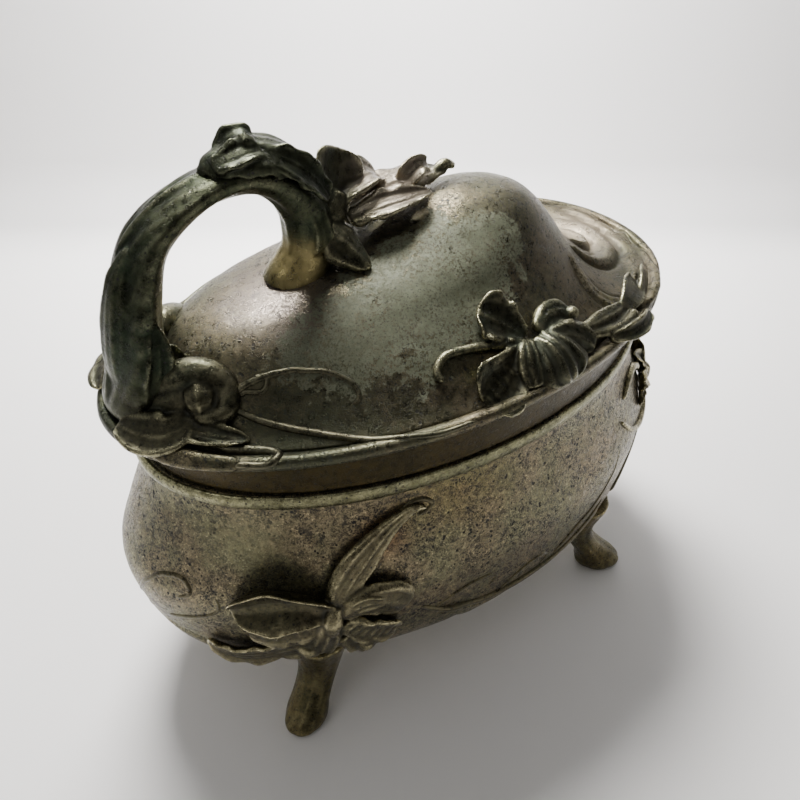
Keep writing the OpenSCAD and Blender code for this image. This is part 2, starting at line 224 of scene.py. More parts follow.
def body_normal(angle: float, z: float) -> Array:
    """Outward direction of the body's wall.

    Args:
        angle: angle round the oval in degrees.
        z: height.

    Returns:
        A unit vector.
    """
    du = on_body(angle + 0.5, z) - on_body(angle - 0.5, z)
    dv = on_body(angle, z + 0.5) - on_body(angle, z - 0.5)
    n = np.cross(du, dv)
    return n / np.linalg.norm(n)


def flange_lift(t: Array) -> Array:
    """How far the flange lifts in its one wave, at the back of the right end.

    Args:
        t: angles round the lid in radians.

    Returns:
        The lift, in millimetres.
    """
    d = (np.degrees(t) - 45 + 540) % 360 - 180
    return 3.9 * np.exp(-((d / 34) ** 2))


def flange_reach(t: Array) -> Array:
    """How much the flange draws in, as it does at the back left.

    Args:
        t: angles round the lid in radians.

    Returns:
        A factor on the flange's reach.
    """
    d = (np.degrees(t) % 360) - 128
    return 1 - 0.032 * np.exp(-((d / 34) ** 2))


# --------------------------------------------------------------------------- mesh helpers


def circle(count: int) -> Array:
    """Angles evenly spaced round a full turn.

    Args:
        count: how many.

    Returns:
        The angles, in radians.
    """
    return np.linspace(0, 2 * math.pi, count, endpoint=False)


def spread(values: Sequence[float], t: Array) -> Array:
    """Values spaced evenly along a line, read off between them.

    Args:
        values: the values from start to end.
        t: places along the line, from 0 to 1.

    Returns:
        One value per place.
    """
    return np.interp(t, np.linspace(0, 1, len(values)), values)


def unit(rows: Array) -> Array:
    """Rows scaled to unit length.

    Args:
        rows: vectors, one per row.

    Returns:
        An array like rows.
    """
    return rows / (np.linalg.norm(rows, axis=1, keepdims=True) + 1e-9)


def capped(rings: Array) -> Array:
    """Rings with both ends closed by a ring drawn together to its middle.

    Args:
        rings: points, rings by count by three.

    Returns:
        The points with one more ring at each end.
    """
    ends = [np.repeat(rings[k].mean(0)[None, None], rings.shape[1], 1) for k in (0, -1)]
    return np.concatenate([ends[0], rings, ends[1]])


def catmull(rows: Array, count: int, weights: Sequence[float] | None = None) -> Array:
    """Smooth, evenly spaced samples through rows of numbers.

    Args:
        rows: one row of values per station.
        count: number of samples.
        weights: factor on the length of each column when spacing is measured.

    Returns:
        An array of count rows.
    """
    p = np.asarray(rows, float)
    w = np.ones(p.shape[1]) if weights is None else np.asarray(weights, float)
    step = np.sqrt((((p[1:] - p[:-1]) * w) ** 2).sum(1)) + 1e-6
    knots = np.concatenate([[0], np.cumsum(np.sqrt(step))])
    slope = np.zeros_like(p)
    d = (p[1:] - p[:-1]) / np.diff(knots)[:, None]
    h = np.diff(knots)
    slope[1:-1] = (d[:-1] * h[1:, None] + d[1:] * h[:-1, None]) / (h[:-1] + h[1:])[:, None]
    slope[0], slope[-1] = d[0], d[-1]

    def at(x: Array) -> Array:
        """Reads the curve.

        Args:
            x: places on the knots.

        Returns:
            One row per place.
        """
        i = np.clip(np.searchsorted(knots, x, side="right") - 1, 0, len(h) - 1)
        t = ((x - knots[i]) / h[i])[:, None]
        hh = h[i][:, None]
        return (
            (2 * t**3 - 3 * t**2 + 1) * p[i] + (t**3 - 2 * t**2 + t) * hh * slope[i]
            + (-2 * t**3 + 3 * t**2) * p[i + 1] + (t**3 - t**2) * hh * slope[i + 1]
        )

    fine = np.linspace(0, knots[-1], 2500)
    q = at(fine)
    run = np.concatenate([[0], np.cumsum(np.sqrt((((q[1:] - q[:-1]) * w) ** 2).sum(1)))])
    return at(np.interp(np.linspace(0, run[-1], count), run, fine))


def grid_normals(p: Array, wrap_u: bool) -> Array:
    """Normals of a grid of points.

    Args:
        p: points, shaped rows by columns by three.
        wrap_u: whether the columns close on themselves.

    Returns:
        Unit normals of the same shape.
    """
    if wrap_u:
        du = np.roll(p, -1, 1) - np.roll(p, 1, 1)
    else:
        du = np.gradient(p, axis=1)
    dv = np.gradient(p, axis=0)
    n = np.cross(du, dv)
    return n / (np.linalg.norm(n, axis=2, keepdims=True) + 1e-12)


def smoothstep(a: float, b: float, x: Array) -> Array:
    """A smooth step from 0 at a to 1 at b.

    Args:
        a: where the step starts.
        b: where it ends.
        x: values.

    Returns:
        Values from 0 to 1.
    """
    t = np.clip((x - a) / (b - a), 0, 1)
    return t * t * (3 - 2 * t)


def value_noise(p: Array, scale: float, seed: int) -> Array:
    """Smooth noise in space, the same on every run.

    Args:
        p: points in millimetres.
        scale: size of one blotch in millimetres.
        seed: which noise.

    Returns:
        One value from -1 to 1 per point.
    """
    table = np.random.default_rng(seed).uniform(-1, 1, (32, 32, 32))
    q = p / scale + seed * 3.7
    i = np.floor(q).astype(int)
    f = q - i
    f = f * f * (3 - 2 * f)
    total = 0
    for dx in (0, 1):
        for dy in (0, 1):
            for dz in (0, 1):
                w = (
                    (f[..., 0] if dx else 1 - f[..., 0]) * (f[..., 1] if dy else 1 - f[..., 1])
                    * (f[..., 2] if dz else 1 - f[..., 2])
                )
                total = total + w * table[(i[..., 0] + dx) % 32, (i[..., 1] + dy) % 32, (i[..., 2] + dz) % 32]
    return total


def linked(name: str, data: bpy.types.ID) -> bpy.types.Object:
    """A new object, put into the scene.

    Args:
        name: the object's name.
        data: its mesh, lamp or camera data.

    Returns:
        The object.
    """
    obj = bpy.data.objects.new(name, data)
    bpy.context.scene.collection.objects.link(obj)
    return obj


def joined(name: str, parts: Iterable[bpy.types.Object]) -> bpy.types.Mesh:
    """One mesh made of several objects, which are removed.

    Args:
        name: the mesh's name.
        parts: the objects.

    Returns:
        The mesh.
    """
    bm = bmesh.new()
    for part in parts:
        bm.from_mesh(part.data)
        bpy.data.objects.remove(part)
    mesh = bpy.data.meshes.new(name)
    bm.to_mesh(mesh)
    bm.free()
    return mesh


def evaluated(obj: bpy.types.Object) -> bpy.types.Mesh:
    """The object's mesh as its modifiers leave it.

    Args:
        obj: the object.

    Returns:
        A new mesh.
    """
    dg = bpy.context.evaluated_depsgraph_get()
    return bpy.data.meshes.new_from_object(obj.evaluated_get(dg))


def grid_object(name: str, points: Array, wrap_u: bool, wrap_v: bool = False) -> bpy.types.Object:
    """A mesh object over a grid of points, with its seams and poles welded.

    Args:
        name: the object's name.
        points: points in millimetres, rows by columns by three.
        wrap_u: whether the columns close on themselves.
        wrap_v: whether the rows close on themselves.

    Returns:
        The object, at the origin.
    """
    if wrap_u:
        points = np.concatenate([points, points[:, :1]], 1)
    if wrap_v:
        points = np.concatenate([points, points[:1]], 0)
    rows, cols = points.shape[:2]
    bm = bmesh.new()
    bm.loops.layers.uv.new("UVMap")
    bmesh.ops.create_grid(bm, x_segments=cols - 1, y_segments=rows - 1, size=1.0, calc_uvs=True)
    mesh = bpy.data.meshes.new(name)
    bm.to_mesh(mesh)
    bm.free()
    co = np.empty(len(mesh.vertices) * 3)
    mesh.vertices.foreach_get("co", co)
    co = co.reshape(-1, 3)
    c = np.rint((co[:, 0] + 1) / 2 * (cols - 1)).astype(int)
    r = np.rint((co[:, 1] + 1) / 2 * (rows - 1)).astype(int)
    mesh.vertices.foreach_set("co", (points[r, c] * MM).ravel())
    bm = bmesh.new()
    bm.from_mesh(mesh)
    bmesh.ops.remove_doubles(bm, verts=bm.verts, dist=WELD)
    if any(face.calc_area() < FLAT for face in bm.faces):
        bmesh.ops.dissolve_degenerate(bm, dist=WELD, edges=bm.edges)
    bmesh.ops.recalc_face_normals(bm, faces=bm.faces)
    bm.to_mesh(mesh)
    bm.free()
    mesh.shade_smooth()
    return linked(name, mesh)


def mesh_arrays(mesh: bpy.types.Mesh) -> tuple[Array, Array]:
    """Vertex positions and edges of a mesh.

    Args:
        mesh: the mesh.

    Returns:
        Positions in metres and pairs of vertex numbers.
    """
    co = np.empty(len(mesh.vertices) * 3)
    mesh.vertices.foreach_get("co", co)
    ed = np.empty(len(mesh.edges) * 2, np.int64)
    mesh.edges.foreach_get("vertices", ed)
    return co.reshape(-1, 3), ed.reshape(-1, 2)


def neighbour_count(edges: Array, vertices: int) -> Array:
    """How many neighbours each vertex has, at least one.

    Args:
        edges: pairs of vertex numbers.
        vertices: number of vertices.

    Returns:
        One number per vertex.
    """
    return np.maximum(np.bincount(edges.ravel(), minlength=vertices), 1).astype(float)


def neighbour_mean(values: Array, edges: Array, count: Array) -> Array:
    """Mean of each vertex's neighbours.

    Args:
        values: one row per vertex.
        edges: pairs of vertex numbers.
        count: neighbours per vertex.

    Returns:
        An array like values.
    """
    total = np.zeros_like(values)
    for k in range(values.shape[1]):
        total[:, k] = np.bincount(edges[:, 0], values[edges[:, 1], k], len(values))
        total[:, k] += np.bincount(edges[:, 1], values[edges[:, 0], k], len(values))
    return total / count[:, None]


def store_hollow_and_proud(obj: bpy.types.Object, reach: Sequence[int] = (4, 16)) -> None:
    """Writes how hollow or how proud each point is, for the patina, the grime and the painted shade in hollows, and
    the rubbed edges with their painted highlight, to follow.

    Args:
        obj: a finished mesh object.
        reach: rounds of smoothing for the fine and the broad scale.
    """
    mesh = obj.data
    co, edges = mesh_arrays(mesh)
    count = neighbour_count(edges, len(co))
    normal = np.empty(len(co) * 3)
    mesh.vertices.foreach_get("normal", normal)
    normal = normal.reshape(-1, 3)
    length = float(np.linalg.norm(co[edges[:, 0]] - co[edges[:, 1]], axis=1).mean())
    smooth, done, value = co.copy(), 0, np.zeros(len(co))
    for rounds in reach:
        while done < rounds:
            smooth = neighbour_mean(smooth, edges, count)
            done += 1
        value += ((smooth - co) * normal).sum(1) / (length * math.sqrt(rounds))
    value = neighbour_mean(value[:, None], edges, count)[:, 0]
    for name, sign in (("hollow", 1.0), ("proud", -1.0)):
        layer = mesh.attributes.new(name, "FLOAT", "POINT")
        layer.data.foreach_set("value", np.clip(value * sign, 0, 1).astype(np.float32))


def fuse(parts: list[bpy.types.Object], name: str, voxel: float, smooth: int = 2) -> bpy.types.Object:
    """Joins solids and remeshes them into one skin, as one casting.

    Args:
        parts: the objects to join.
        name: the new object's name.
        voxel: voxel size in millimetres.
        smooth: rounds of smoothing after the remesh.

    Returns:
        The fused object.
    """
    obj = linked(name, joined(name, parts))
    modifier = obj.modifiers.new("fuse", "REMESH")
    modifier.mode, modifier.voxel_size = "VOXEL", voxel * MM
    bpy.context.view_layer.update()
    fused = evaluated(obj)
    obj.modifiers.clear()
    obj.data = fused
    co, edges = mesh_arrays(fused)
    count = neighbour_count(edges, len(co))
    for _ in range(smooth):
        co = 0.5 * co + 0.5 * neighbour_mean(co, edges, count)
    fused.vertices.foreach_set("co", co.ravel())
    fused.update()
    fused.shade_smooth()
    return obj


# --------------------------------------------------------------------------- relief


@dataclass(frozen=True)
class Line:
    """One line of low relief laid on a surface.

    Attributes:
        points: places it passes through, in millimetres.
        width: half width along it.
        height: height along it.
        form: its cross-section.
    """

    points: tuple
    width: tuple = (1.0, 0.4)
    height: tuple = (0.8, 0.3)
    form: Form = Form.CORD

    def lay(self, p: Array) -> Array:
        """Height this line gives to points of the surface.

        Args:
            p: surface points in millimetres.

        Returns:
            Heights in millimetres.
        """
        path = catmull(np.array(self.points, float), 90)
        t = np.linspace(0, 1, len(path))
        w = spread(self.width, t)
        h = spread(self.height, t)
        out = np.zeros(len(p))
        pad = max(self.width) * 1.8 + 1
        near = np.flatnonzero(((p > path.min(0) - pad) & (p < path.max(0) + pad)).all(1))
        if not len(near):
            return out
        d = np.linalg.norm(p[near][:, None] - path[None], axis=2)
        k = (d / w).argmin(1)
        x = d[np.arange(len(near)), k] / w[k]
        side = np.clip(1 - x * x, 0, 1)
        if self.form is Form.CORD:
            value = side**0.65 - 0.28 * np.exp(-(((x - 1.25) / 0.28) ** 2))
        elif self.form is Form.LEAF:
            value = side**0.5 * (0.55 + 0.6 * x * x) - 0.22 * np.exp(-((x / 0.14) ** 2))
            value -= 0.3 * np.exp(-(((x - 1.2) / 0.22) ** 2))
        elif self.form is Form.RIDGE:
            value = side**0.45 * (0.75 + 0.25 * np.cos(x * 3.1)) - 0.35 * np.exp(-(((x - 1.12) / 0.16) ** 2))
        else:
            value = side * side
        out[near] = value * h[k]
        return out


def lay_lines(p: Array, lines: Iterable[Line]) -> Array:
    """Sum of the relief lines on a surface, the highest winning where they cross.

    Args:
        p: surface points in millimetres.
        lines: the lines.

    Returns:
        Heights in millimetres.
    """
    high, low = np.zeros(len(p)), np.zeros(len(p))
    for line in lines:
        value = line.lay(p)
        if line.form is Form.SWELL:
            low += value
        else:
            high = np.where(value > 0, np.maximum(high, value), high)
            low = np.minimum(low, np.where(value < 0, value, 0))
    return high + np.where(high > 0.05, np.maximum(low, 0), low)


@dataclass(frozen=True)
class Petal:
    """One cast petal: a thick, curled leaf round a line in space.

    Attributes:
        spine: its middle line, in millimetres.
        normal: which way its face looks, at the root and at the tip.
        width: half width along it.
        thick: thickness along it.
        cup: how far its edges stand above its middle, along it.
        ruffle: height of the waves on its edge.
        waves: number of waves along it.
        veins: depth of the veins.
        hatch: height of the ladder of ridges down its middle.
        lip: height of its rolled edge.
    """

    spine: tuple
    normal: tuple
    width: tuple
    thick: tuple = (2.2, 1.6, 1.0)
    cup: tuple = (0.6, 1.0, 0.4)
    ruffle: float = 0.5
    waves: float = 3.0
    veins: float = 0.2
    hatch: float = 0.0
    lip: float = 0.35

    def build(self, name: str, along: int = 64, around: int = 72) -> bpy.types.Object:
        """Makes the petal as a closed solid.

        Args:
            name: the object's name.
            along: rings from root to tip.
            around: points round each ring.

        Returns:
            The object.
        """
        path = catmull(np.array(self.spine, float), along)
        t = np.linspace(0, 1, along)
        tip, root = 0.2, 0.08
        ends = np.clip(1 - np.clip((t - 0.8) / tip, 0, 1) ** 2.6, 0.0, 1) ** 0.5
        ends = ends * np.sqrt(np.clip(1 - np.clip((root - t) / root, 0, 1) ** 2, 0.0, 1))
        stations = np.array(self.width)[:, None] * (1, 0) + (0, 1) * np.arange(len(self.width))[:, None]
        w = catmull(stations, along)[:, 0]
        w = np.maximum(w, 0.3) * np.maximum(ends, 1e-4)
        th = spread(self.thick, t) * np.maximum(ends, 1e-4) ** 0.6
        cup = spread(self.cup, t) * ends
        n0, n1 = (np.array(v, float) for v in (self.normal[0], self.normal[-1]))
        face = n0[None] * (1 - t[:, None]) + n1[None] * t[:, None]
        tangent = unit(np.gradient(path, axis=0))
        face -= (face * tangent).sum(1, keepdims=True) * tangent
        face = unit(face)
        across = np.cross(tangent, face)
        phi = circle(around)
        x, y = np.cos(phi), np.sin(phi)
        x = np.sign(x) * np.abs(x) ** 0.8
        top = np.clip(y, 0, 1)
        bend = np.abs(x)[None] ** 1.8 * cup[:, None]
        phase = float(np.abs(path).sum()) % 6.28
        wave = np.sin(2 * math.pi * self.waves * t + phase)[:, None] * (np.abs(x) ** 3)[None] * np.sign(x)[None]
        wave2 = np.sin(2 * math.pi * self.waves * 1.6 * t + 2 * phase)[:, None] * (np.abs(x) ** 4)[None]
        reach = np.clip(t * 3.0, 0, 1)[:, None] * np.ones_like(x)[None]
        vein = np.cos(x * 8.5 + 0.6 * np.sin(phase))[None] + 0.4 * np.cos(x * 17 + phase)[None]
        vein = vein * top[None] ** 0.5 * self.veins * reach
        rib = -np.exp(-((x[None] * w[:, None] / 0.8) ** 2)) * top[None] * self.veins * 1.6
        lip = np.exp(-(((np.abs(x) - 0.9) / 0.13) ** 2))[None] * self.lip * reach
        ladder = np.cos(t * len(path) * 0.75)[:, None] * np.exp(-((x / 0.42) ** 2))[None] * top[None] * self.hatch
        lift = y[None] * th[:, None] / 2 + bend + (wave * 0.7 + wave2 * 0.5) * self.ruffle * ends[:, None]
        lift = lift + (vein + rib + ladder + lip) * ends[:, None]
        points = path[:, None] + across[:, None] * (x[None] * w[:, None])[..., None] + face[:, None] * lift[..., None]
        return grid_object(name, points, wrap_u=True)


def tube(name: str, spine: Sequence, radius: Sequence, around: int = 20, along: int = 60) -> bpy.types.Object:
    """A rounded stem.

    Args:
        name: the object's name.
        spine: its middle line.
        radius: radii along it.
        around: points round it.
        along: rings along it.

    Returns:
        The object.
    """
    path = catmull(np.array(spine, float), along)
    t = np.linspace(0, 1, along)
    r = spread(radius, t)
    r = r * np.sqrt(np.clip(1 - (2 * np.clip(np.abs(t - 0.5), 0.44, 0.5) - 0.88) ** 2 / 0.0144, 1e-6, 1))
    tangent = unit(np.gradient(path, axis=0))
    reference = np.array([0.13, 0.29, 0.95])
    side = np.cross(tangent, reference)
    side /= np.linalg.norm(side, axis=1, keepdims=True)
    up = np.cross(side, tangent)
    phi = circle(around)
    points = path[:, None] + (
        side[:, None] * np.cos(phi)[None, :, None] + up[:, None] * np.sin(phi)[None, :, None]
    ) * r[:, None, None]
    return grid_object(name, points, wrap_u=True)


# --------------------------------------------------------------------------- shader building


class Graph:
    """Adds and links shader nodes with few words.

    Attributes:
        tree: the node tree being built.
    """

    def __init__(self, tree: bpy.types.NodeTree) -> None:
        """Starts on an empty tree.

        Args:
            tree: the node tree to build in.
        """
        self.tree = tree
        self._shelf = 0

    def add(self, kind: str, **settings: object) -> bpy.types.Node:
        """Adds a node.

        Args:
            kind: the node's type without its ShaderNode prefix.
            **settings: properties of the node.

        Returns:
            The node.
        """
        node = self.tree.nodes.new("ShaderNode" + kind)
        node.location = (220 * (self._shelf // 6), -260 * (self._shelf % 6))
        self._shelf += 1
        for key, value in settings.items():
            setattr(node, key, value)
        return node

    def feed(self, socket: bpy.types.NodeSocket, value: object) -> None:
        """Links or sets an input.

        Args:
            socket: the input.
            value: a socket to link, or a value to set.
        """
        if isinstance(value, bpy.types.NodeSocket):
            self.tree.links.new(value, socket)
        else:
            socket.default_value = value

    def math(self, how: str, a: object, b: object = 0.0, clamp: bool = False) -> bpy.types.NodeSocket:
        """A Math node on one or two values.

        Args:
            how: the operation.
            a: first value.
            b: second value.
            clamp: whether the result is kept from 0 to 1.

        Returns:
            The result.
        """
        node = self.add("Math", operation=how, use_clamp=clamp)
        self.feed(node.inputs[0], a)
        self.feed(node.inputs[1], b)
        return node.outputs[0]

    def mix(self, factor: object, a: object, b: object, how: str = "MIX") -> bpy.types.NodeSocket:
        """A colour mix.

        Args:
            factor: how much of b.
            a: first colour.
            b: second colour.
            how: the blend type.

        Returns:
            The mixed colour.
        """
        node = self.add("Mix", data_type="RGBA", blend_type=how, clamp_factor=True)
        self.feed(node.inputs[0], factor)
        self.feed(node.inputs[6], a)
        self.feed(node.inputs[7], b)
        return node.outputs[2]

    def span(self, value: object, a: float, b: float, c: object = 0.0, d: object = 1.0) -> bpy.types.NodeSocket:
        """Maps a value from the span a..b to c..d, with a soft step.

        Args:
            value: the value.
            a: start of its span.
            b: end of its span.
            c: result at the start.
            d: result at the end.

        Returns:
            The result.
        """
        node = self.add("MapRange", interpolation_type="SMOOTHSTEP", clamp=True)
        for socket, x in zip(node.inputs, (value, a, b, c, d)):
            self.feed(socket, x)
        return node.outputs[0]

    def noise(self, where: object, scale: float, detail: float = 4, rough: float = 0.55) -> bpy.types.NodeSocket:
        """Noise value in the given space.

        Args:
            where: coordinates.
            scale: how fine it is.
            detail: number of finer layers.
            rough: strength of the finer layers.

        Returns:
            The value, about 0.5.
        """
        node = self.add("TexNoise")
        self.feed(node.inputs["Vector"], where)
        self.feed(node.inputs["Scale"], scale)
        self.feed(node.inputs["Detail"], detail)
        self.feed(node.inputs["Roughness"], rough)
        return node.outputs[0]

    def cells(self, where: object, scale: float) -> bpy.types.NodeSocket:
        """Distance to the nearest cell point.

        Args:
            where: coordinates.
            scale: how fine they are.

        Returns:
            The distance.
        """
        node = self.add("TexVoronoi", feature="F1")
        self.feed(node.inputs["Vector"], where)
        self.feed(node.inputs["Scale"], scale)
        return node.outputs["Distance"]

    def attribute(self, name: str) -> bpy.types.NodeSocket:
        """A float attribute of the mesh.

        Args:
            name: the attribute's name.

        Returns:
            Its value.
        """
        return self.add("Attribute", attribute_name=name).outputs["Fac"]

    def bump(self, shader: bpy.types.Node, height: object, strength: float, distance: float) -> None:
        """Adds a bump to a shader.

        Args:
            shader: the shader node.
            height: the height it follows.
            strength: its strength.
            distance: its depth in metres.
        """
        node = self.add("Bump")
        node.inputs["Strength"].default_value = strength
        node.inputs["Distance"].default_value = distance
        self.feed(node.inputs["Height"], height)
        self.feed(shader.inputs["Normal"], node.outputs[0])

    def millimetres(self) -> bpy.types.NodeSocket:
        """Object coordinates in millimetres.

        Returns:
            The coordinates.
        """
        coord = self.add("TexCoord").outputs["Object"]
        scale = self.add("VectorMath", operation="MULTIPLY")
        self.feed(scale.inputs[0], coord)
        self.feed(scale.inputs[1], (1000, 1000, 1000))
        return scale.outputs[0]


def fresh_material(name: str) -> tuple[bpy.types.Material, Graph, bpy.types.Node]:
    """A new material with its node graph.

    Args:
        name: its name.

    Returns:
        The material, its graph and its shader node.
    """
    mat = bpy.data.materials.new(name)
    mat.use_nodes = True
    return mat, Graph(mat.node_tree), mat.node_tree.nodes["Principled BSDF"]


def group(name: str, inputs: Sequence[tuple], outputs: Sequence[tuple], fill: Callable) -> bpy.types.NodeTree:
    """Makes a shader node group once.

    Args:
        name: the group's name.
        inputs: name, socket type and default of each input.
        outputs: name and socket type of each output.
        fill: takes the graph and the inputs by name, and returns the outputs by name.

    Returns:
        The group.
    """
    if name in bpy.data.node_groups:
        return bpy.data.node_groups[name]
    tree = bpy.data.node_groups.new(name, "ShaderNodeTree")
    for label, kind, default in inputs:
        tree.interface.new_socket(label, in_out="INPUT", socket_type=kind).default_value = default
    for label, kind in outputs:
        tree.interface.new_socket(label, in_out="OUTPUT", socket_type=kind)
    start, end = tree.nodes.new("NodeGroupInput"), tree.nodes.new("NodeGroupOutput")
    graph = Graph(tree)
    made = fill(graph, {s.name: s for s in start.outputs if s.name})
    for label, socket in made.items():
        graph.feed(end.inputs[label], socket)
    return tree


FLOAT, COLOUR = "NodeSocketFloat", "NodeSocketColor"


def _fill_plating(g: Graph, given: dict) -> dict:
    """Nodes of aged plating over a pitted casting, with painted shade in its hollows, painted highlights on its proud
    edges and painted glints.

    Args:
        g: the graph.
        given: the group's inputs by name.

    Returns:
        The group's outputs by name.
    """
    mm = g.millimetres()
    hollow, proud = g.attribute("hollow"), g.attribute("proud")
    clouds = g.noise(mm, 0.075, 6, 0.62)
    tone = g.mix(g.span(clouds, 0.38, 0.62), given["Plate"], given["Blush"])
    mottle = g.noise(mm, 0.55, 8, 0.68)
    tone = g.mix(1.0, tone, g.mix(g.span(mottle, 0.3, 0.7), (0.5, 0.5, 0.48, 1), (1.42, 1.42, 1.36, 1)), "MULTIPLY")
    patch = g.span(g.noise(mm, 0.11, 3, 0.5), 0.35, 0.65, 0.4, 1.0)
    wide = g.math("MULTIPLY", g.math("SUBTRACT", g.noise(mm, 0.7, 3, 0.6), 0.38), given["Pits"])
    small = g.math("SUBTRACT", g.cells(mm, 1.7), g.math("MULTIPLY", wide, 1.15))
    pits = g.math("MULTIPLY", g.span(small, 0.16, 0.08), patch)
    fine = g.math("SUBTRACT", g.cells(mm, 2.9), g.math("MULTIPLY", wide, 0.9))
    pits = g.math("MAXIMUM", pits, g.math("MULTIPLY", g.span(fine, 0.26, 0.14), 0.75))
    dot = g.math("SUBTRACT", g.cells(mm, 0.72),
                 g.math("MULTIPLY", g.math("SUBTRACT", g.noise(mm, 0.4, 2, 0.5), 0.46), given["Specks"]))
    specks = g.span(dot, 0.16, 0.06)
    # Hollows darken with grime and patina, and with painted shade standing in for the shade that falls in them.
    soil_and_shade = g.math("MULTIPLY_ADD", hollow, given["Soil_and_shade_depth"])
    g.feed(soil_and_shade.node.inputs[2], g.math("MULTIPLY", g.span(g.noise(mm, 0.22, 6, 0.7), 0.55, 0.8), 0.45))
    soil_and_shade = g.math("MINIMUM", g.math("MAXIMUM", soil_and_shade, 0.0), 0.94)
    # Proud edges turn brass: rubbed wear, and a painted highlight standing in for the shine they catch.
    scuffed_and_highlit = g.math("MULTIPLY", proud, given["Scuff_and_highlight"])
    scuffed_and_highlit = g.math("MULTIPLY", scuffed_and_highlit, g.span(g.noise(mm, 0.5, 5, 0.7), 0.32, 0.6), True)
    colour = g.mix(scuffed_and_highlit, tone, given["Brass"])
    colour = g.mix(soil_and_shade, colour, given["Soil_and_shade"])
    grit = g.math("MULTIPLY", g.span(g.noise(mm, 2.1, 4, 0.8), 0.52, 0.6), given["Pits"])
    black = g.math("MAXIMUM", g.math("MAXIMUM", pits, specks),
                   g.math("MULTIPLY", grit, g.math("MULTIPLY", patch, 0.85)))
    # Painted glints: random spots of the metal brightened as if they caught the light.
    painted_glint = g.math("MULTIPLY", g.span(g.noise(mm, 1.7, 3, 0.75), 0.56, 0.66, 0.0, 0.7), given["Pits"], True)
    colour = g.mix(painted_glint, colour, g.mix(1.0, colour, (2.3, 2.25, 2.1, 1), "MULTIPLY"))
    colour = g.mix(black, colour, (0.012, 0.012, 0.01, 1))
    dull = g.math("MAXIMUM", soil_and_shade, black)
    metal = g.span(dull, 0.0, 1.0, 0.92, 0.35)
    rough = g.span(mottle, 0.3, 0.7, 0.22, 0.42)
    rough = g.math("ADD", rough, g.math("MULTIPLY", dull, 0.25))
    rough = g.math("SUBTRACT", rough, g.math("MULTIPLY", scuffed_and_highlit, 0.12), True)
    grain = g.noise(mm, 1.1, 7, 0.7)
    height = g.math("MULTIPLY", g.math("SUBTRACT", grain, 0.5), 0.55)
    height = g.math("SUBTRACT", height, g.math("MULTIPLY", black, 0.45))
    height = g.math("ADD", height, g.math("MULTIPLY", clouds, 0.5))
    return {"Colour": colour, "Roughness": rough, "Metallic": metal, "Height": height, "Dull": dull}


def plating_group() -> bpy.types.NodeTree:
    """The group of aged plating with its painted shade, highlights and glints, made once.

    Returns:
        The group.
    """
    return group(
        "aged_plating_and_painted_light",
        [
            ("Plate", COLOUR, (0.3, 0.3, 0.25, 1)), ("Blush", COLOUR, (0.3, 0.25, 0.2, 1)),
            ("Brass", COLOUR, (0.7, 0.6, 0.36, 1)), ("Soil_and_shade", COLOUR, (0.03, 0.03, 0.02, 1)),
            ("Pits", FLOAT, 0.6), ("Specks", FLOAT, 0.6), ("Soil_and_shade_depth", FLOAT, 1.0), ("Scuff_and_highlight", FLOAT, 1.0),
        ],
        [("Colour", COLOUR), ("Roughness", FLOAT), ("Metallic", FLOAT), ("Height", FLOAT), ("Dull", FLOAT)],
        _fill_plating,
    )


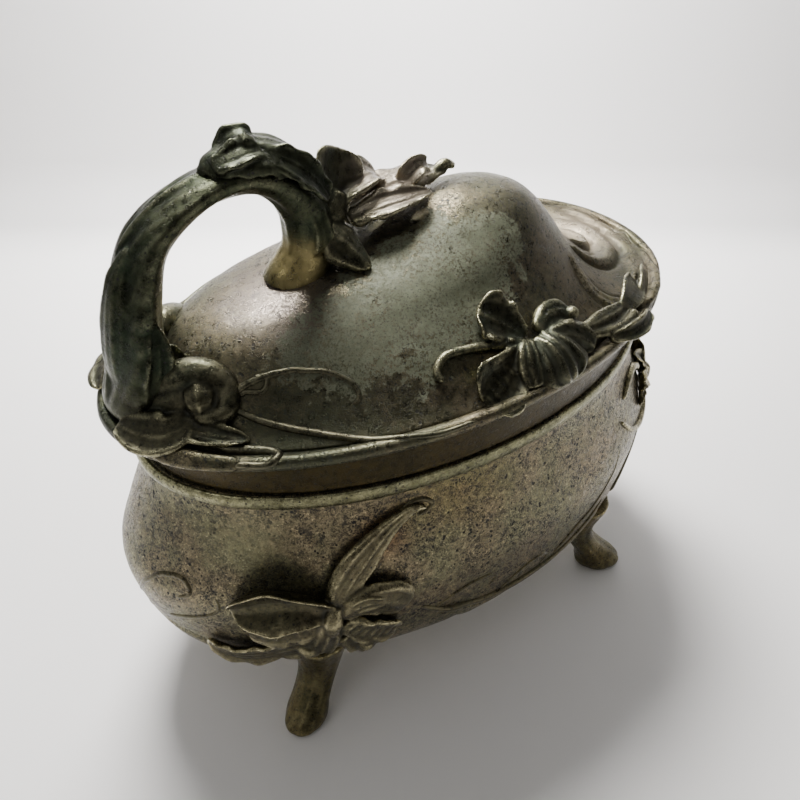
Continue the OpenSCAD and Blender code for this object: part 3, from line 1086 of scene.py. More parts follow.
@dataclass(frozen=True)
class CastFinish:
    """A finish of the old plated casting.

    Attributes:
        name: the material's name.
        plate: main colour of the plating.
        blush: colour of the clouds in it.
        brass: colour of rubbed edges, and of the highlight painted on them.
        soil_and_shade: colour of the grime in the hollows, also used for the shade painted there.
        pits: how frosted with small pits it is.
        specks: how many black specks it has.
        soil_and_shade_depth: how strongly hollows darken, with grime and with painted shade.
        scuff_and_highlight: how strongly edges brighten, as rubbed wear and as a painted highlight.
        tints: spots of colour as centre in millimetres, radius, colour and strength.
        bare: whether a patch of it has lost its plating.
        relief: strength of the bump.
    """

    name: str
    plate: tuple
    blush: tuple
    brass: tuple = (0.62, 0.55, 0.36)
    soil_and_shade: tuple = (0.022, 0.024, 0.018)
    pits: float = 0.6
    specks: float = 0.6
    soil_and_shade_depth: float = 1.0
    scuff_and_highlight: float = 1.0
    tints: tuple = ()
    bare: bool = False
    relief: float = 0.5

    def material(self) -> bpy.types.Material:
        """Makes the material, or gives it if it is made already.

        Returns:
            The material.
        """
        if self.name in bpy.data.materials:
            return bpy.data.materials[self.name]
        mat, g, shader = fresh_material(self.name)
        coat = g.add("Group")
        coat.node_tree = plating_group()
        for label in ("Plate", "Blush", "Brass", "Soil_and_shade"):
            coat.inputs[label].default_value = (*getattr(self, label.lower()), 1)
        for label in ("Pits", "Specks", "Soil_and_shade_depth", "Scuff_and_highlight"):
            coat.inputs[label].default_value = getattr(self, label.lower())
        colour, rough = coat.outputs["Colour"], coat.outputs["Roughness"]
        metal, height = coat.outputs["Metallic"], coat.outputs["Height"]
        mm = g.millimetres()
        ragged = g.noise(mm, 0.3, 6, 0.65)
        for centre, radius, tint, strength in self.tints:
            away = g.add("VectorMath", operation="DISTANCE")
            g.feed(away.inputs[0], mm)
            away.inputs[1].default_value = centre
            near = g.math("MULTIPLY_ADD", ragged, radius * 0.7)
            g.feed(near.node.inputs[2], away.outputs["Value"])
            near = g.span(near, radius * 1.35, radius * 0.45, 0.0, strength)
            colour = g.mix(near, colour, (*tint, 1), "MULTIPLY" if max(tint) > 0.95 else "MIX")
        if self.bare:
            colour, rough, metal, height = self._bare(g, mm, colour, rough, metal, height)
        g.feed(shader.inputs["Base Color"], colour)
        g.feed(shader.inputs["Roughness"], rough)
        g.feed(shader.inputs["Metallic"], metal)
        g.bump(shader, height, self.relief, 0.0003)
        return mat

    def _bare(self, g: Graph, mm: object, colour: object, rough: object, metal: object, height: object) -> tuple:
        """Lays the matt grey-green patch, with its ragged and speckled edge, over the plating.

        Args:
            g: the graph.
            mm: coordinates in millimetres.
            colour: the plating's colour.
            rough: its roughness.
            metal: its metalness.
            height: its height.

        Returns:
            Colour, roughness, metalness and height with the patch.
        """
        ragged = g.math("SUBTRACT", g.noise(mm, 0.14, 9, 0.74), 0.5)
        edge = g.math("ADD", g.attribute("bare"), g.math("MULTIPLY", ragged, 2.9))
        mask = g.span(edge, 0.495, 0.51)
        crumbs = g.span(g.noise(mm, 1.3, 6, 0.8), 0.5, 0.54)
        rim = g.span(edge, 1.5, 0.5)
        mask = g.math("MULTIPLY", mask, g.math("SUBTRACT", 1.0, g.math("MULTIPLY", crumbs, rim)), True)
        grey = g.mix(g.span(g.noise(mm, 0.35, 7, 0.7), 0.35, 0.65), (0.1, 0.108, 0.066, 1), (0.138, 0.148, 0.095, 1))
        scratch = g.noise(mm, 2.4, 4, 0.7)
        grey = g.mix(g.span(scratch, 0.56, 0.62, 0.0, 0.8), grey, (0.03, 0.03, 0.024, 1))
        colour = g.mix(mask, colour, grey)
        rough = g.math("ADD", g.math("MULTIPLY", rough, g.math("SUBTRACT", 1.0, mask)),
                       g.math("MULTIPLY", mask, 0.55))
        metal = g.math("MULTIPLY", metal, g.math("SUBTRACT", 1.0, g.math("MULTIPLY", mask, 0.7)))
        height = g.math("ADD", g.math("MULTIPLY", height, g.math("SUBTRACT", 1.0, g.math("MULTIPLY", mask, 0.6))),
                        g.math("MULTIPLY", mask, -0.35))
        return colour, rough, metal, height


def _fill_weave(g: Graph, given: dict) -> dict:
    """Nodes of a fine woven silk on the piece's own UV map.

    Args:
        g: the graph.
        given: the group's inputs by name.

    Returns:
        The group's outputs by name.
    """
    uv = g.add("UVMap").outputs[0]
    scale = g.add("VectorMath", operation="MULTIPLY")
    g.feed(scale.inputs[0], uv)
    g.feed(scale.inputs[1], given["Threads"])
    split = g.add("SeparateXYZ")
    g.feed(split.inputs[0], scale.outputs[0])
    warp = g.math("SINE", g.math("MULTIPLY", split.outputs[0], math.tau))
    weft = g.math("SINE", g.math("MULTIPLY", split.outputs[1], math.tau))
    cloth = g.math("MULTIPLY", warp, weft)
    mm = g.millimetres()
    slub = g.noise(mm, 0.5, 5, 0.6)
    age = g.span(g.noise(mm, 0.06, 6, 0.65), 0.4, 0.68)
    colour = g.mix(g.span(slub, 0.3, 0.7), given["Dark"], given["Light"])
    colour = g.mix(g.math("MULTIPLY", age, 0.7), colour, given["Faded"])
    colour = g.mix(g.span(cloth, -1.0, 1.0, 0.25, 0.0), colour, given["Dark"])
    rough = g.span(slub, 0.3, 0.7, 0.42, 0.62)
    height = g.math("ADD", g.math("MULTIPLY", cloth, 0.5), g.math("MULTIPLY", slub, 0.6))
    return {"Colour": colour, "Roughness": rough, "Height": height}


@dataclass(frozen=True)
class ClothFinish:
    """Woven silk or twisted cord.

    Attributes:
        name: the material's name.
        dark: colour between the threads.
        light: colour of the threads.
        faded: colour where it has aged.
        threads: threads along U and V of the piece's own map.
        sheen: weight of the sheen.
        relief: strength of the weave's bump.
    """

    name: str
    dark: tuple
    light: tuple
    faded: tuple
    threads: tuple
    sheen: float = 0.35
    relief: float = 0.35

    def material(self) -> bpy.types.Material:
        """Makes the material, or gives it if it is made already.

        Returns:
            The material.
        """
        if self.name in bpy.data.materials:
            return bpy.data.materials[self.name]
        mat, g, shader = fresh_material(self.name)
        weave = g.add("Group")
        weave.node_tree = group(
            "silk_weave",
            [
                ("Dark", COLOUR, (0, 0, 0, 1)), ("Light", COLOUR, (1, 1, 1, 1)), ("Faded", COLOUR, (1, 1, 1, 1)),
                ("Threads", "NodeSocketVector", (100, 100, 0)),
            ],
            [("Colour", COLOUR), ("Roughness", FLOAT), ("Height", FLOAT)],
            _fill_weave,
        )
        for label in ("Dark", "Light", "Faded"):
            weave.inputs[label].default_value = (*getattr(self, label.lower()), 1)
        weave.inputs["Threads"].default_value = (*self.threads, 0)
        g.feed(shader.inputs["Base Color"], weave.outputs["Colour"])
        g.feed(shader.inputs["Roughness"], weave.outputs["Roughness"])
        shader.inputs["Sheen Weight"].default_value = self.sheen
        shader.inputs["Sheen Roughness"].default_value = 0.4
        g.bump(shader, weave.outputs["Height"], self.relief, 0.0001)
        return mat


@dataclass(frozen=True)
class StageFinish:
    """Plain painted board of the floor.

    Attributes:
        name: the material's name.
        colour: its colour.
    """

    name: str = "pale_board"
    colour: tuple = (0.86, 0.845, 0.84)

    def material(self) -> bpy.types.Material:
        """Makes the material.

        Returns:
            The material.
        """
        mat, g, shader = fresh_material(self.name)
        tone = g.noise(g.millimetres(), 0.004, 3, 0.5)
        colour = g.mix(g.span(tone, 0.3, 0.7), (*(c * 0.985 for c in self.colour), 1), (*self.colour, 1))
        g.feed(shader.inputs["Base Color"], colour)
        shader.inputs["Roughness"].default_value = 0.55
        shader.inputs["Specular IOR Level"].default_value = 0.3
        return mat


# Colour of rubbed edges, and of the highlight painted on them.
BRASS_EDGE = (0.46, 0.41, 0.23)
BODY_FINISH = CastFinish(
    "pitted_body_plating", (0.175, 0.165, 0.1), (0.2, 0.165, 0.105), BRASS_EDGE, pits=1.35, specks=1.2, soil_and_shade_depth=1.1,
    scuff_and_highlight=0.9,
    tints=(
        ((-29, -39, 66), 10, (1.0, 0.7, 0.66), 0.8), ((-57, -26, 68), 13, (0.3, 0.29, 0.16), 0.45),
        ((-10, -40, 77), 24, (1.0, 0.88, 0.6), 0.6), ((40, -36, 52), 22, (1.0, 0.92, 0.86), 0.5),
    ),
)
LID_FINISH = CastFinish(
    "lid_plating", (0.074, 0.07, 0.043), (0.105, 0.088, 0.058), BRASS_EDGE, pits=0.75, specks=0.9, soil_and_shade_depth=1.2, scuff_and_highlight=0.9,
    bare=True,
    tints=(
        ((-70, 0, 96), 26, (0.022, 0.03, 0.018), 0.8), ((-42, -34, 95), 30, (0.05, 0.056, 0.034), 0.75),
        ((-36, -4, 110), 18, (0.2, 0.17, 0.15), 0.7), ((60, 6, 99), 16, (0.36, 0.3, 0.22), 0.85),
    ),
)
HANDLE_FINISH = CastFinish(
    "dark_handle_patina", (0.021, 0.03, 0.018), (0.04, 0.046, 0.026), (0.3, 0.3, 0.19), pits=0.3, specks=0.5,
    soil_and_shade_depth=1.3, scuff_and_highlight=1.1, tints=(
        ((-29, -3, 117), 10, (0.46, 0.38, 0.17), 0.95), ((-66, -6, 97), 9, (0.1, 0.08, 0.06), 0.5),
    ),
)
BLOOM_FINISH = CastFinish(
    "dark_bloom_patina", (0.034, 0.039, 0.025), (0.06, 0.056, 0.036), (0.5, 0.47, 0.29), pits=0.3, specks=0.4,
    soil_and_shade_depth=1.3, scuff_and_highlight=1.2, tints=(((-2, 3, 126), 17, (0.26, 0.22, 0.17), 0.85),
                               ((18, -37, 97), 14, (0.07, 0.072, 0.05), 0.6)),
)
IRIS_FINISH = CastFinish(
    "rubbed_iris_plating", (0.085, 0.078, 0.046), (0.11, 0.095, 0.058), (0.62, 0.56, 0.33), pits=0.35, specks=0.4,
    soil_and_shade_depth=1.6,
    scuff_and_highlight=1.5,
)
TENDRIL_FINISH = CastFinish(
    "rubbed_tendril_patina", (0.085, 0.083, 0.055), (0.13, 0.12, 0.08), (0.5, 0.46, 0.3), pits=0.2, specks=0.4,
    soil_and_shade_depth=0.0,
    scuff_and_highlight=0.0,
)
LEAF_FINISH = CastFinish(
    "shaded_leaf_patina", (0.019, 0.025, 0.016), (0.036, 0.04, 0.025), (0.26, 0.27, 0.17), pits=0.25, specks=0.4,
    soil_and_shade_depth=1.3, scuff_and_highlight=0.55,
)
# The collar's colours are darkened to a painted shade, the shadow the flange's overhang throws on it.
SHADED_COLLAR_LOOK = CastFinish(
    "golden_collar", (0.023, 0.018, 0.0065), (0.033, 0.024, 0.008), (0.3, 0.24, 0.09), pits=0.4, specks=0.5,
    soil_and_shade_depth=0.8,
    scuff_and_highlight=0.8,
)
BEAD_FINISH = CastFinish(
    "rim_bead_plating", (0.08, 0.084, 0.042), (0.11, 0.105, 0.055), (0.66, 0.64, 0.38), pits=0.3, specks=0.6,
    soil_and_shade_depth=1.2,
    scuff_and_highlight=1.7,
)
FOOT_FINISH = CastFinish(
    "foot_plating", (0.075, 0.068, 0.034), (0.11, 0.09, 0.045), (0.5, 0.43, 0.22), pits=0.4, specks=0.5, soil_and_shade_depth=1.2,
    scuff_and_highlight=1.3,
)
HINGE_FINISH = CastFinish(
    "hinge_steel", (0.32, 0.31, 0.28), (0.27, 0.25, 0.2), (0.6, 0.58, 0.5), pits=0.3, specks=0.5, soil_and_shade_depth=0.0, scuff_and_highlight=0.0,
    relief=0.3,
)
SILK_FINISH = ClothFinish("rose_silk", (0.30, 0.17, 0.15), (0.56, 0.38, 0.33), (0.58, 0.47, 0.36), (520, 230))
BRAID_FINISH = ClothFinish(
    "gilt_braid", (0.22, 0.15, 0.06), (0.60, 0.46, 0.22), (0.5, 0.42, 0.26), (700, 12), sheen=0.2, relief=0.5
)


# --------------------------------------------------------------------------- the box


def oval(a: Array, b: Array, z: Array, count: int = 600) -> Array:
    """Rings of an oval stack.

    Args:
        a: half lengths, one per ring.
        b: half widths.
        z: heights.
        count: points round each ring.

    Returns:
        Points, rings by count by three.
    """
    t = circle(count)
    heights = np.repeat(np.asarray(z, float)[:, None], count, 1)
    return np.stack([np.outer(a, np.cos(t)), np.outer(b, np.sin(t)), heights], 2)


def press(points: Array, lines: Iterable[Line], rows: slice, uneven: float = 0.1) -> Array:
    """Raises lines of relief, and the casting's slight unevenness, on part of a skin.

    Args:
        points: the skin, rows by columns by three.
        lines: relief.
        rows: which rows get it.
        uneven: height of the unevenness in millimetres.

    Returns:
        The new points.
    """
    part = points[rows]
    n = grid_normals(part, wrap_u=True)
    if (n[..., :2] * part[..., :2]).sum() < 0:
        n = -n
    flat = part.reshape(-1, 3)
    height = lay_lines(flat, [line for line in snapped(flat, lines) if line.form is not Form.CORD])
    height += uneven * (value_noise(flat, 7.0, 3) + 0.4 * value_noise(flat, 2.4, 5))
    out = points.copy()
    out[rows] = part + n * height.reshape(part.shape[:2])[..., None]
    return out


def snapped(p: Array, lines: Iterable[Line]) -> list[Line]:
    """Lines whose points have been set down on the nearest place of a surface.

    Args:
        p: the surface's points.
        lines: the lines.

    Returns:
        New lines.
    """
    down = []
    for line in lines:
        path = catmull(np.array(line.points, float), 40)
        near = np.array([p[((p - q) ** 2).sum(1).argmin()] for q in path])
        for _ in range(3):
            near[1:-1] = (near[:-2] + 2 * near[1:-1] + near[2:]) / 4
        down.append(Line(tuple(map(tuple, near)), line.width, line.height, line.form))
    return down


def cords(name: str, skin: bpy.types.Object, lines: Iterable[Line],
          sunk: tuple[float, float, float]) -> bpy.types.Object:
    """Cast tendrils: the cord lines of a relief, as rounded ridges half sunk in their skin.

    Args:
        name: the piece's name.
        skin: the finished skin they lie on.
        lines: its relief.
        sunk: factors that draw them into the skin.

    Returns:
        One object of closed ridges.
    """
    co, _ = mesh_arrays(skin.data)
    mesh = joined(name, (
        tube("ridge", np.array(line.points) * sunk, tuple(0.6 * w + 0.12 for w in line.width), around=16, along=110)
        for line in snapped(co / MM, [line for line in lines if line.form is Form.CORD])
    ))
    mesh.shade_smooth()
    return linked(name, mesh)


def hold_out(obj: bpy.types.Object, depth: float = 1.1) -> None:
    """Pushes whatever would stand inside the bowl out into the middle of the body's wall.

    Args:
        obj: a piece cast onto the body.
        depth: how far under the wall's outer face it may reach.
    """
    mesh = obj.data
    co, _ = mesh_arrays(mesh)
    p = co / MM
    r = np.hypot(p[:, 0] / SIZE.neck_a, p[:, 1] / SIZE.neck_b)
    mean_radius = 52
    out = (r - 1) * mean_radius
    for _ in range(6):
        r = np.hypot(p[:, 0] / (SIZE.neck_a + out), p[:, 1] / (SIZE.neck_b + SIZE.share * out))
        out += (r - 1) * mean_radius
    least = belly_out(p[:, 2]) - depth
    low = (p[:, 2] > SIZE.under + depth) & (out < least)
    ang = np.arctan2(p[:, 1] / (SIZE.neck_b + SIZE.share * out), p[:, 0] / (SIZE.neck_a + out))
    p[low, 0] = ((SIZE.neck_a + least) * np.cos(ang))[low]
    p[low, 1] = ((SIZE.neck_b + SIZE.share * least) * np.sin(ang))[low]
    mesh.vertices.foreach_set("co", (p * MM).ravel())
    mesh.update()


def finish_piece(
    obj: bpy.types.Object, body: Body, slot: Slot, look: CastFinish | ClothFinish, nodes: Sequence[str],
    measure_relief: bool = True
) -> None:
    """Gives a piece its wear and its painted shade and highlight, its material and its place in the frame.

    Args:
        obj: the piece.
        body: the body it rides on.
        slot: the record's slot; not used.
        look: its finish.
        nodes: the CAD nodes it stands for.
        measure_relief: whether hollows and edges are measured, for wear and for painted shade and highlight.
    """
    if measure_relief:
        store_hollow_and_proud(obj)
    obj.data.materials.clear()
    obj.data.materials.append(look.material())
    if nodes:
        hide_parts(*nodes)
    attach(obj, body.value)
    LOG.info("%s rides on %s: %d faces", obj.name, body.value, len(obj.data.polygons))


def seat(points: Array, flat: float, low: float, high: float, behind: float) -> None:
    """Draws the back of a wall out to the flat seat a hinge leaf is fixed on.

    Args:
        points: the skin, changed in place.
        flat: half the width that is quite flat.
        low: height at which the seat starts.
        high: height from which it is whole.
        behind: only points with a larger Y move.
    """
    x, y, z = points[..., 0], points[..., 1], points[..., 2]
    pull = smoothstep(SEAT_HALF, flat, np.abs(x)) * smoothstep(low, high, z) * (y > behind)
    points[..., 1] = y * (1 - pull) + (SIZE.neck_b + SEAT_OUT) * pull


def turned(lines: Iterable[Line]) -> list[Line]:
    """The same lines, turned half round the vertical axis.

    Args:
        lines: the lines.

    Returns:
        New lines.
    """
    return [
        Line(tuple(tuple(np.array(q) * (-1, -1, 1)) for q in line.points), line.width, line.height, line.form)
        for line in lines
    ]


@dataclass(frozen=True)
class BoxBody:
    """The bombe body with its rim bead.

    Attributes:
        columns: points round the oval.
        rows: rings on the outer wall.
    """

    columns: int = 600
    rows: int = 112

    def relief(self) -> list[Line]:
        """Low relief of the body's front, and the same turned to the back.

        Returns:
            The lines.
        """
        at = on_body
        front = [
            Line((at(-106, 40), at(-101, 35), at(-93, 31), at(-82, 29.5), at(-71, 30), at(-62, 33), at(-57, 38)),
                 (1.2, 1.9, 2.0, 1.6, 1.0), (0.9, 1.5, 1.5, 1.1, 0.5)),
            Line((at(-103, 37), at(-98, 41), at(-93, 42), at(-90, 39), at(-92, 36)), (0.9, 1.0, 0.7),
                 (0.7, 0.9, 0.5)),
            Line((at(-88, 31), at(-84, 35), at(-79, 36.5), at(-76, 34), at(-78, 31.5)), (0.9, 1.0, 0.6),
                 (0.6, 0.9, 0.5)),
            Line((at(-74, 31), at(-69, 36), at(-62, 40), at(-56, 46), at(-52, 54)), (1.0, 1.2, 0.8, 0.4),
                 (0.8, 0.9, 0.6, 0.2)),
            Line((at(-100, 33), at(-94, 27), at(-86, 25), at(-78, 26)), (2.2, 3.0, 2.0), (0.8, 1.0, 0.5), Form.LEAF),
            Line((at(-72, 26.5), at(-64, 27), at(-57, 30)), (2.4, 2.8, 1.4), (0.8, 1.0, 0.4), Form.LEAF),
            Line((at(-50, 33), at(-44, 37), at(-37, 44), at(-32, 53), at(-30, 61)), (1.6, 1.3, 0.9, 0.5),
                 (1.1, 1.0, 0.7, 0.3)),
            Line((at(-47, 35), at(-42, 34), at(-35, 36), at(-30, 42)), (1.5, 1.4, 0.8), (0.9, 0.9, 0.4)),
            Line((at(-176, 40), at(-171, 47), at(-163, 54.5), at(-156, 56), at(-153, 52.5), at(-157, 50)),
                 (0.7, 1.1, 1.1, 0.8), (0.5, 0.9, 0.9, 0.5)),
            Line((at(-168, 36), at(-161, 41), at(-152, 45), at(-146, 49), at(-147, 53)), (0.6, 1.0, 0.9, 0.6),
                 (0.4, 0.8, 0.8, 0.4)),
            Line((at(-137, 30), at(-147, 28), at(-157, 31), at(-166, 34)), (2.4, 3.0, 2.2, 1.0),
                 (1.0, 1.2, 0.9, 0.4), Form.LEAF),
            Line((at(-30, 30), at(-18, 28), at(-6, 29), at(4, 34)), (1.8, 2.4, 1.6, 0.8), (0.9, 1.1, 0.8, 0.3),
                 Form.LEAF),
            Line((at(-112, 70), at(-107, 73.5), at(-104, 71), at(-107, 69)), (1.0, 1.1, 0.8), (0.8, 0.9, 0.6)),
            Line((at(-128, 52), at(-120, 46), at(-114, 40)), (9, 11, 8), (0.5, 0.8, 0.4), Form.SWELL),
        ]
        return front + turned(front)

    def build(self) -> bpy.types.Object:
        """Makes the thick body as one closed skin with its relief.

        Returns:
            The object.
        """
        outer = np.array([(SIZE.neck_a + o, SIZE.neck_b + SIZE.share * o, z) for z, o in BELLY])
        bottom = np.array([(0, 0, SIZE.under + 0.1), (16, 10, SIZE.under + 0.05), (33, 21, SIZE.under),
                           tuple(outer[0])])
        wall = SIZE.wall
        inner = [(SIZE.rim, -wall), (76, -wall), (72, 1.1 - wall), (68, 2.9 - wall), (63.5, 5.06 - wall),
                 (58, 7.7 - wall),
                 (51.5, 10.45 - wall), (46, 11 - wall), (38.3, 9.9 - wall), (31, 7.33 - wall), (27, 1.2), (24.4, -5),
                 (23, -13),
                 (22.6, -22)]
        inside = np.array([(SIZE.neck_a + o, SIZE.neck_b + SIZE.share * o, z) for z,
                           o in inner] + [(20, 13, 22.5), (0, 0, 22.5)])
        rim = np.array([tuple(outer[-1]), tuple(inside[0])])
        lip = np.array([
            rim[0] * (1 - s) + rim[1] * s + (0, 0, -0.25 * (2 * s - 1) ** 4) for s in np.linspace(0, 1, 6)
        ])
        rings = np.concatenate([catmull(bottom, 12)[:-1], catmull(outer, self.rows), lip[1:-1], catmull(inside, 32)])
        points = oval(rings[:, 0], rings[:, 1], rings[:, 2], count=self.columns)
        points = press(points, self.relief(), slice(11, 11 + self.rows))
        seat(points, 9.0, 71.2, 73, SIZE.neck_b * 0.985)
        return grid_object("body_shell_cast", points, wrap_u=True)

    def bead(self) -> bpy.types.Object:
        """Makes the moulding under the mouth, open at the back for the hinge.

        Returns:
            The object.
        """
        profile = [(0.02, 76.9), (0.5, 76.75), (0.75, 77.15), (0.85, 77.5), (1.35, 77.7), (1.62, 78.4), (1.7, 79.2),
                   (1.45, 80.1),
                   (0.95, 80.75), (0.3, 80.7), (0.02, 79.9), (-0.5, 78.6)]
        half = math.degrees(math.asin(10.0 / SIZE.neck_a))
        t = np.radians(np.linspace(90 + half, 450 - half, 720))
        section = catmull(np.array(profile + profile[:1]), 27)[:-1]
        a, b = SIZE.neck_a + section[:, 0], SIZE.neck_b + SIZE.share * section[:, 0]
        heights = np.repeat(section[None, :, 1], len(t), 0)
        points = np.stack([np.outer(np.cos(t), a), np.outer(np.sin(t), b), heights], 2)
        wobble = value_noise(points.reshape(-1, 3), 3.0, 9).reshape(points.shape[:2])
        points[..., 2] += 0.06 * wobble
        return grid_object("rim_bead_cast", capped(points), wrap_u=True)


@dataclass(frozen=True)
class Foot:
    """One cast leg with a scrolled toe.

    Attributes:
        name: the piece's name.
        node: the CAD node it stands for.
        sx: side along X.
        sy: side along Y.
    """

    name: str
    node: str
    sx: int
    sy: int

    def build(self) -> bpy.types.Object:
        """Makes the leg as a fluted closed skin.

        Returns:
            The object.
        """
        w = 8.6
        stations = np.array([
            (0.0, 0.9, 0.30 * w, 0.30 * w), (0.0, 0.9, 0.60 * w, 0.48 * w), (0.6, 1.0, 0.76 * w, 0.58 * w),
            (2.0, 1.0, 0.83 * w, 0.64 * w), (4.0, 0.2, 0.76 * w, 0.64 * w), (7, -2.0, 0.60 * w, 0.60 * w),
            (11, -5.0, 0.52 * w, 0.60 * w), (15, -6.8, 0.54 * w, 0.66 * w), (20, -7.6, 0.64 * w, 0.78 * w),
            (25, -7.2, 0.78 * w, 0.92 * w), (29, -6.4, 0.82 * w, 0.98 * w), (29.6, -6.4, 0.3 * w, 0.3 * w),
        ])
        s = catmull(stations, 150)
        s[:, 0] = np.maximum(s[:, 0], 0)
        pole = s[[0, -1]].copy()
        pole[:, 2:] = 1e-4
        s = np.concatenate([pole[:1], s, pole[1:]])
        t = circle(96)
        c, d = np.cos(t), np.sin(t)
        z = s[:, 0][:, None]
        flute = 1 - 0.06 * np.exp(-((d / 0.24) ** 2)) * (c > 0) * smoothstep(2, 8,
                                                                             z) - 0.03 * np.cos(3 * t)[None] ** 8
        flute = flute + 0.04 * np.exp(-((d / 0.09) ** 2)) * (c > 0) * smoothstep(3, 9, z)
        p, q = s[:, 2][:, None] * c * flute, s[:, 3][:, None] * d * flute
        ux, uy = 0.83 * self.sx, 0.56 * self.sy
        along = s[:, 1][:, None] + p
        points = np.stack([
            self.sx * 50.6 + ux * along - uy * q, self.sy * 33.4 + uy * along + ux * q, np.repeat(z, len(t), 1),
        ], 2)
        obj = grid_object(self.name, points, wrap_u=True)
        hold_out(obj)
        return obj


FEET = tuple(
    Foot(f"leg_{fb}_{lr}", f"foot_{fb}_{lr}", sx, sy)
    for fb, sy in (("front", -1), ("back", 1)) for lr, sx in (("left", -1), ("right", 1))
)


def wall_petal(balls: Sequence[tuple], **shape: object) -> Petal:
    """A petal that follows the body's wall.

    Args:
        balls: angle, height and stand-off of each point of its spine.
        **shape: other fields of the petal.

    Returns:
        The petal.
    """
    spine = tuple(tuple(on_body(*b[:3])) for b in balls)
    ends = (tuple(body_normal(balls[0][0], balls[0][1])), tuple(body_normal(balls[-1][0], balls[-1][1])))
    return Petal(spine, ends, **shape)


@dataclass(frozen=True)
class CornerIris:
    """The large iris over a front or back leg.

    Attributes:
        name: the piece's name.
        node: the CAD node it stands for.
        turn: whether it is the one turned to the back.
    """

    name: str
    node: str
    turn: bool = False

    def petals(self) -> list[Petal]:
        """Its petals, from the sepal above to the leaf below.

        Returns:
            The petals.
        """
        return [
            wall_petal([(-122, 49, 2.2), (-120.5, 56, 2.8), (-117, 63, 2.4), (-112, 69.5, 1.8), (-108, 72, 1.4),
                        (-105, 71, 1.0)],
                       width=(2.2, 4.3, 4.5, 2.6, 1.3, 0.9), thick=(3.6, 3.2, 2.6, 2.0), cup=(0.2, -0.5, -0.3),
                       ruffle=0.12, veins=0.26),
            wall_petal([(-122, 49, 1.8), (-127, 52.6, 1.4), (-132.5, 54, 1.2), (-138, 53, 1.1), (-142.5, 51, 1.4)],
                       width=(2.6, 6.2, 7.4, 6.8, 4.4), thick=(3.2, 2.2, 1.8, 1.8), cup=(1.4, 4.2, 5.0, 4.4, 3.2),
                       ruffle=0.3, waves=2.2,
                       veins=0.1, lip=0.7),
            wall_petal([(-121, 48, 2.2), (-117, 51, 3.6), (-112.5, 50, 3.4), (-108.5, 45.5, 1.8)],
                       width=(2.6, 5.4, 6.2, 4.6), thick=(3.6, 3.2, 2.4), cup=(0, -0.8, -1.0, -0.6), ruffle=0.32,
                       waves=2.4, veins=0.24),
            wall_petal([(-119.6, 49, 4.8), (-116, 52, 6.0), (-112.4, 51, 5.6)],
                       width=(1.2, 2.6, 1.6), thick=(1.8, 1.8, 1.4), cup=(-0.3, -0.6, -0.3), ruffle=0.1, lip=0.5),
            wall_petal([(-122, 46.5, 2.8), (-128, 45.5, 3.6), (-134, 44, 3.0), (-139.5, 42.5, 1.6)],
                       width=(2.6, 4.4, 4.8, 3.4), thick=(3.2, 2.4, 1.8), cup=(0.3, 0.9, 1.0), ruffle=0.45,
                       waves=3.0, veins=0.14, hatch=0.2),
            wall_petal([(-120, 45.5, 2.8), (-116.5, 41, 3.6), (-113, 38, 2.8), (-110.5, 36, 1.4)],
                       width=(2.6, 4.6, 5.0, 3.4), thick=(3.2, 2.4, 1.8), cup=(0.3, 0.9, 1.0), ruffle=0.45,
                       waves=2.8, veins=0.14, hatch=0.24),
            wall_petal([(-122, 48.5, 4.2), (-122.5, 43, 5.0), (-124, 37, 3.4), (-126, 31, 2.0)],
                       width=(2.4, 3.2, 3.4, 2.8), thick=(3.8, 3.8, 2.8), cup=(-0.6, -0.9, -0.5), ruffle=0.2,
                       veins=0.4),
            wall_petal([(-125, 41, 2.6), (-130, 37, 3.0), (-135.5, 33, 2.0)],
                       width=(3.0, 4.8, 3.8), thick=(3.0, 2.4, 1.8), cup=(0.2, 0.6, 0.6), ruffle=0.5, waves=2.6,
                       veins=0.24),
            wall_petal([(-120.5, 39, 2.6), (-117.5, 34, 2.6), (-114.5, 29.8, 1.4)],
                       width=(2.8, 4.6, 3.4), thick=(3.0, 2.4, 1.8), cup=(0.2, 0.6, 0.6), ruffle=0.5, waves=2.4,
                       veins=0.24),
            wall_petal([(-131, 37, 1.6), (-138, 33, 2.2), (-145, 32.6, 2.4), (-151, 36, 1.4)],
                       width=(2.2, 4.4, 4.2, 2.2), thick=(2.6, 2.0, 1.6), cup=(0.3, 0.8, 0.5), ruffle=0.5, veins=0.2),
        ]

    def build(self) -> bpy.types.Object:
        """Makes the bloom as one casting.

        Returns:
            The object.
        """
        parts = [petal.build(f"{self.name}_{k}") for k, petal in enumerate(self.petals())]
        for k, (heart, radii) in enumerate((
            (((-121.5, 52, 3.4), (-121.5, 47.5, 5.4), (-122, 43, 4.8)), (1.6, 2.4, 1.6)),
            (((-117.5, 35.5, 3.6), (-116.5, 34, 4.4), (-115.5, 32.5, 3.4)), (1.2, 1.9, 1.2)),
            (((-129, 38, 3.4), (-127.5, 35.5, 4.2), (-126, 33, 3.2)), (1.2, 1.9, 1.2)),
        )):
            parts.append(tube(f"{self.name}_bead_{k}", [on_body(*q) for q in heart], radii))
        obj = fuse(parts, self.name, 0.34, 1)
        hold_out(obj)
        if self.turn:
            obj.data.transform(Matrix.Rotation(math.pi, 4, "Z"))
        return obj


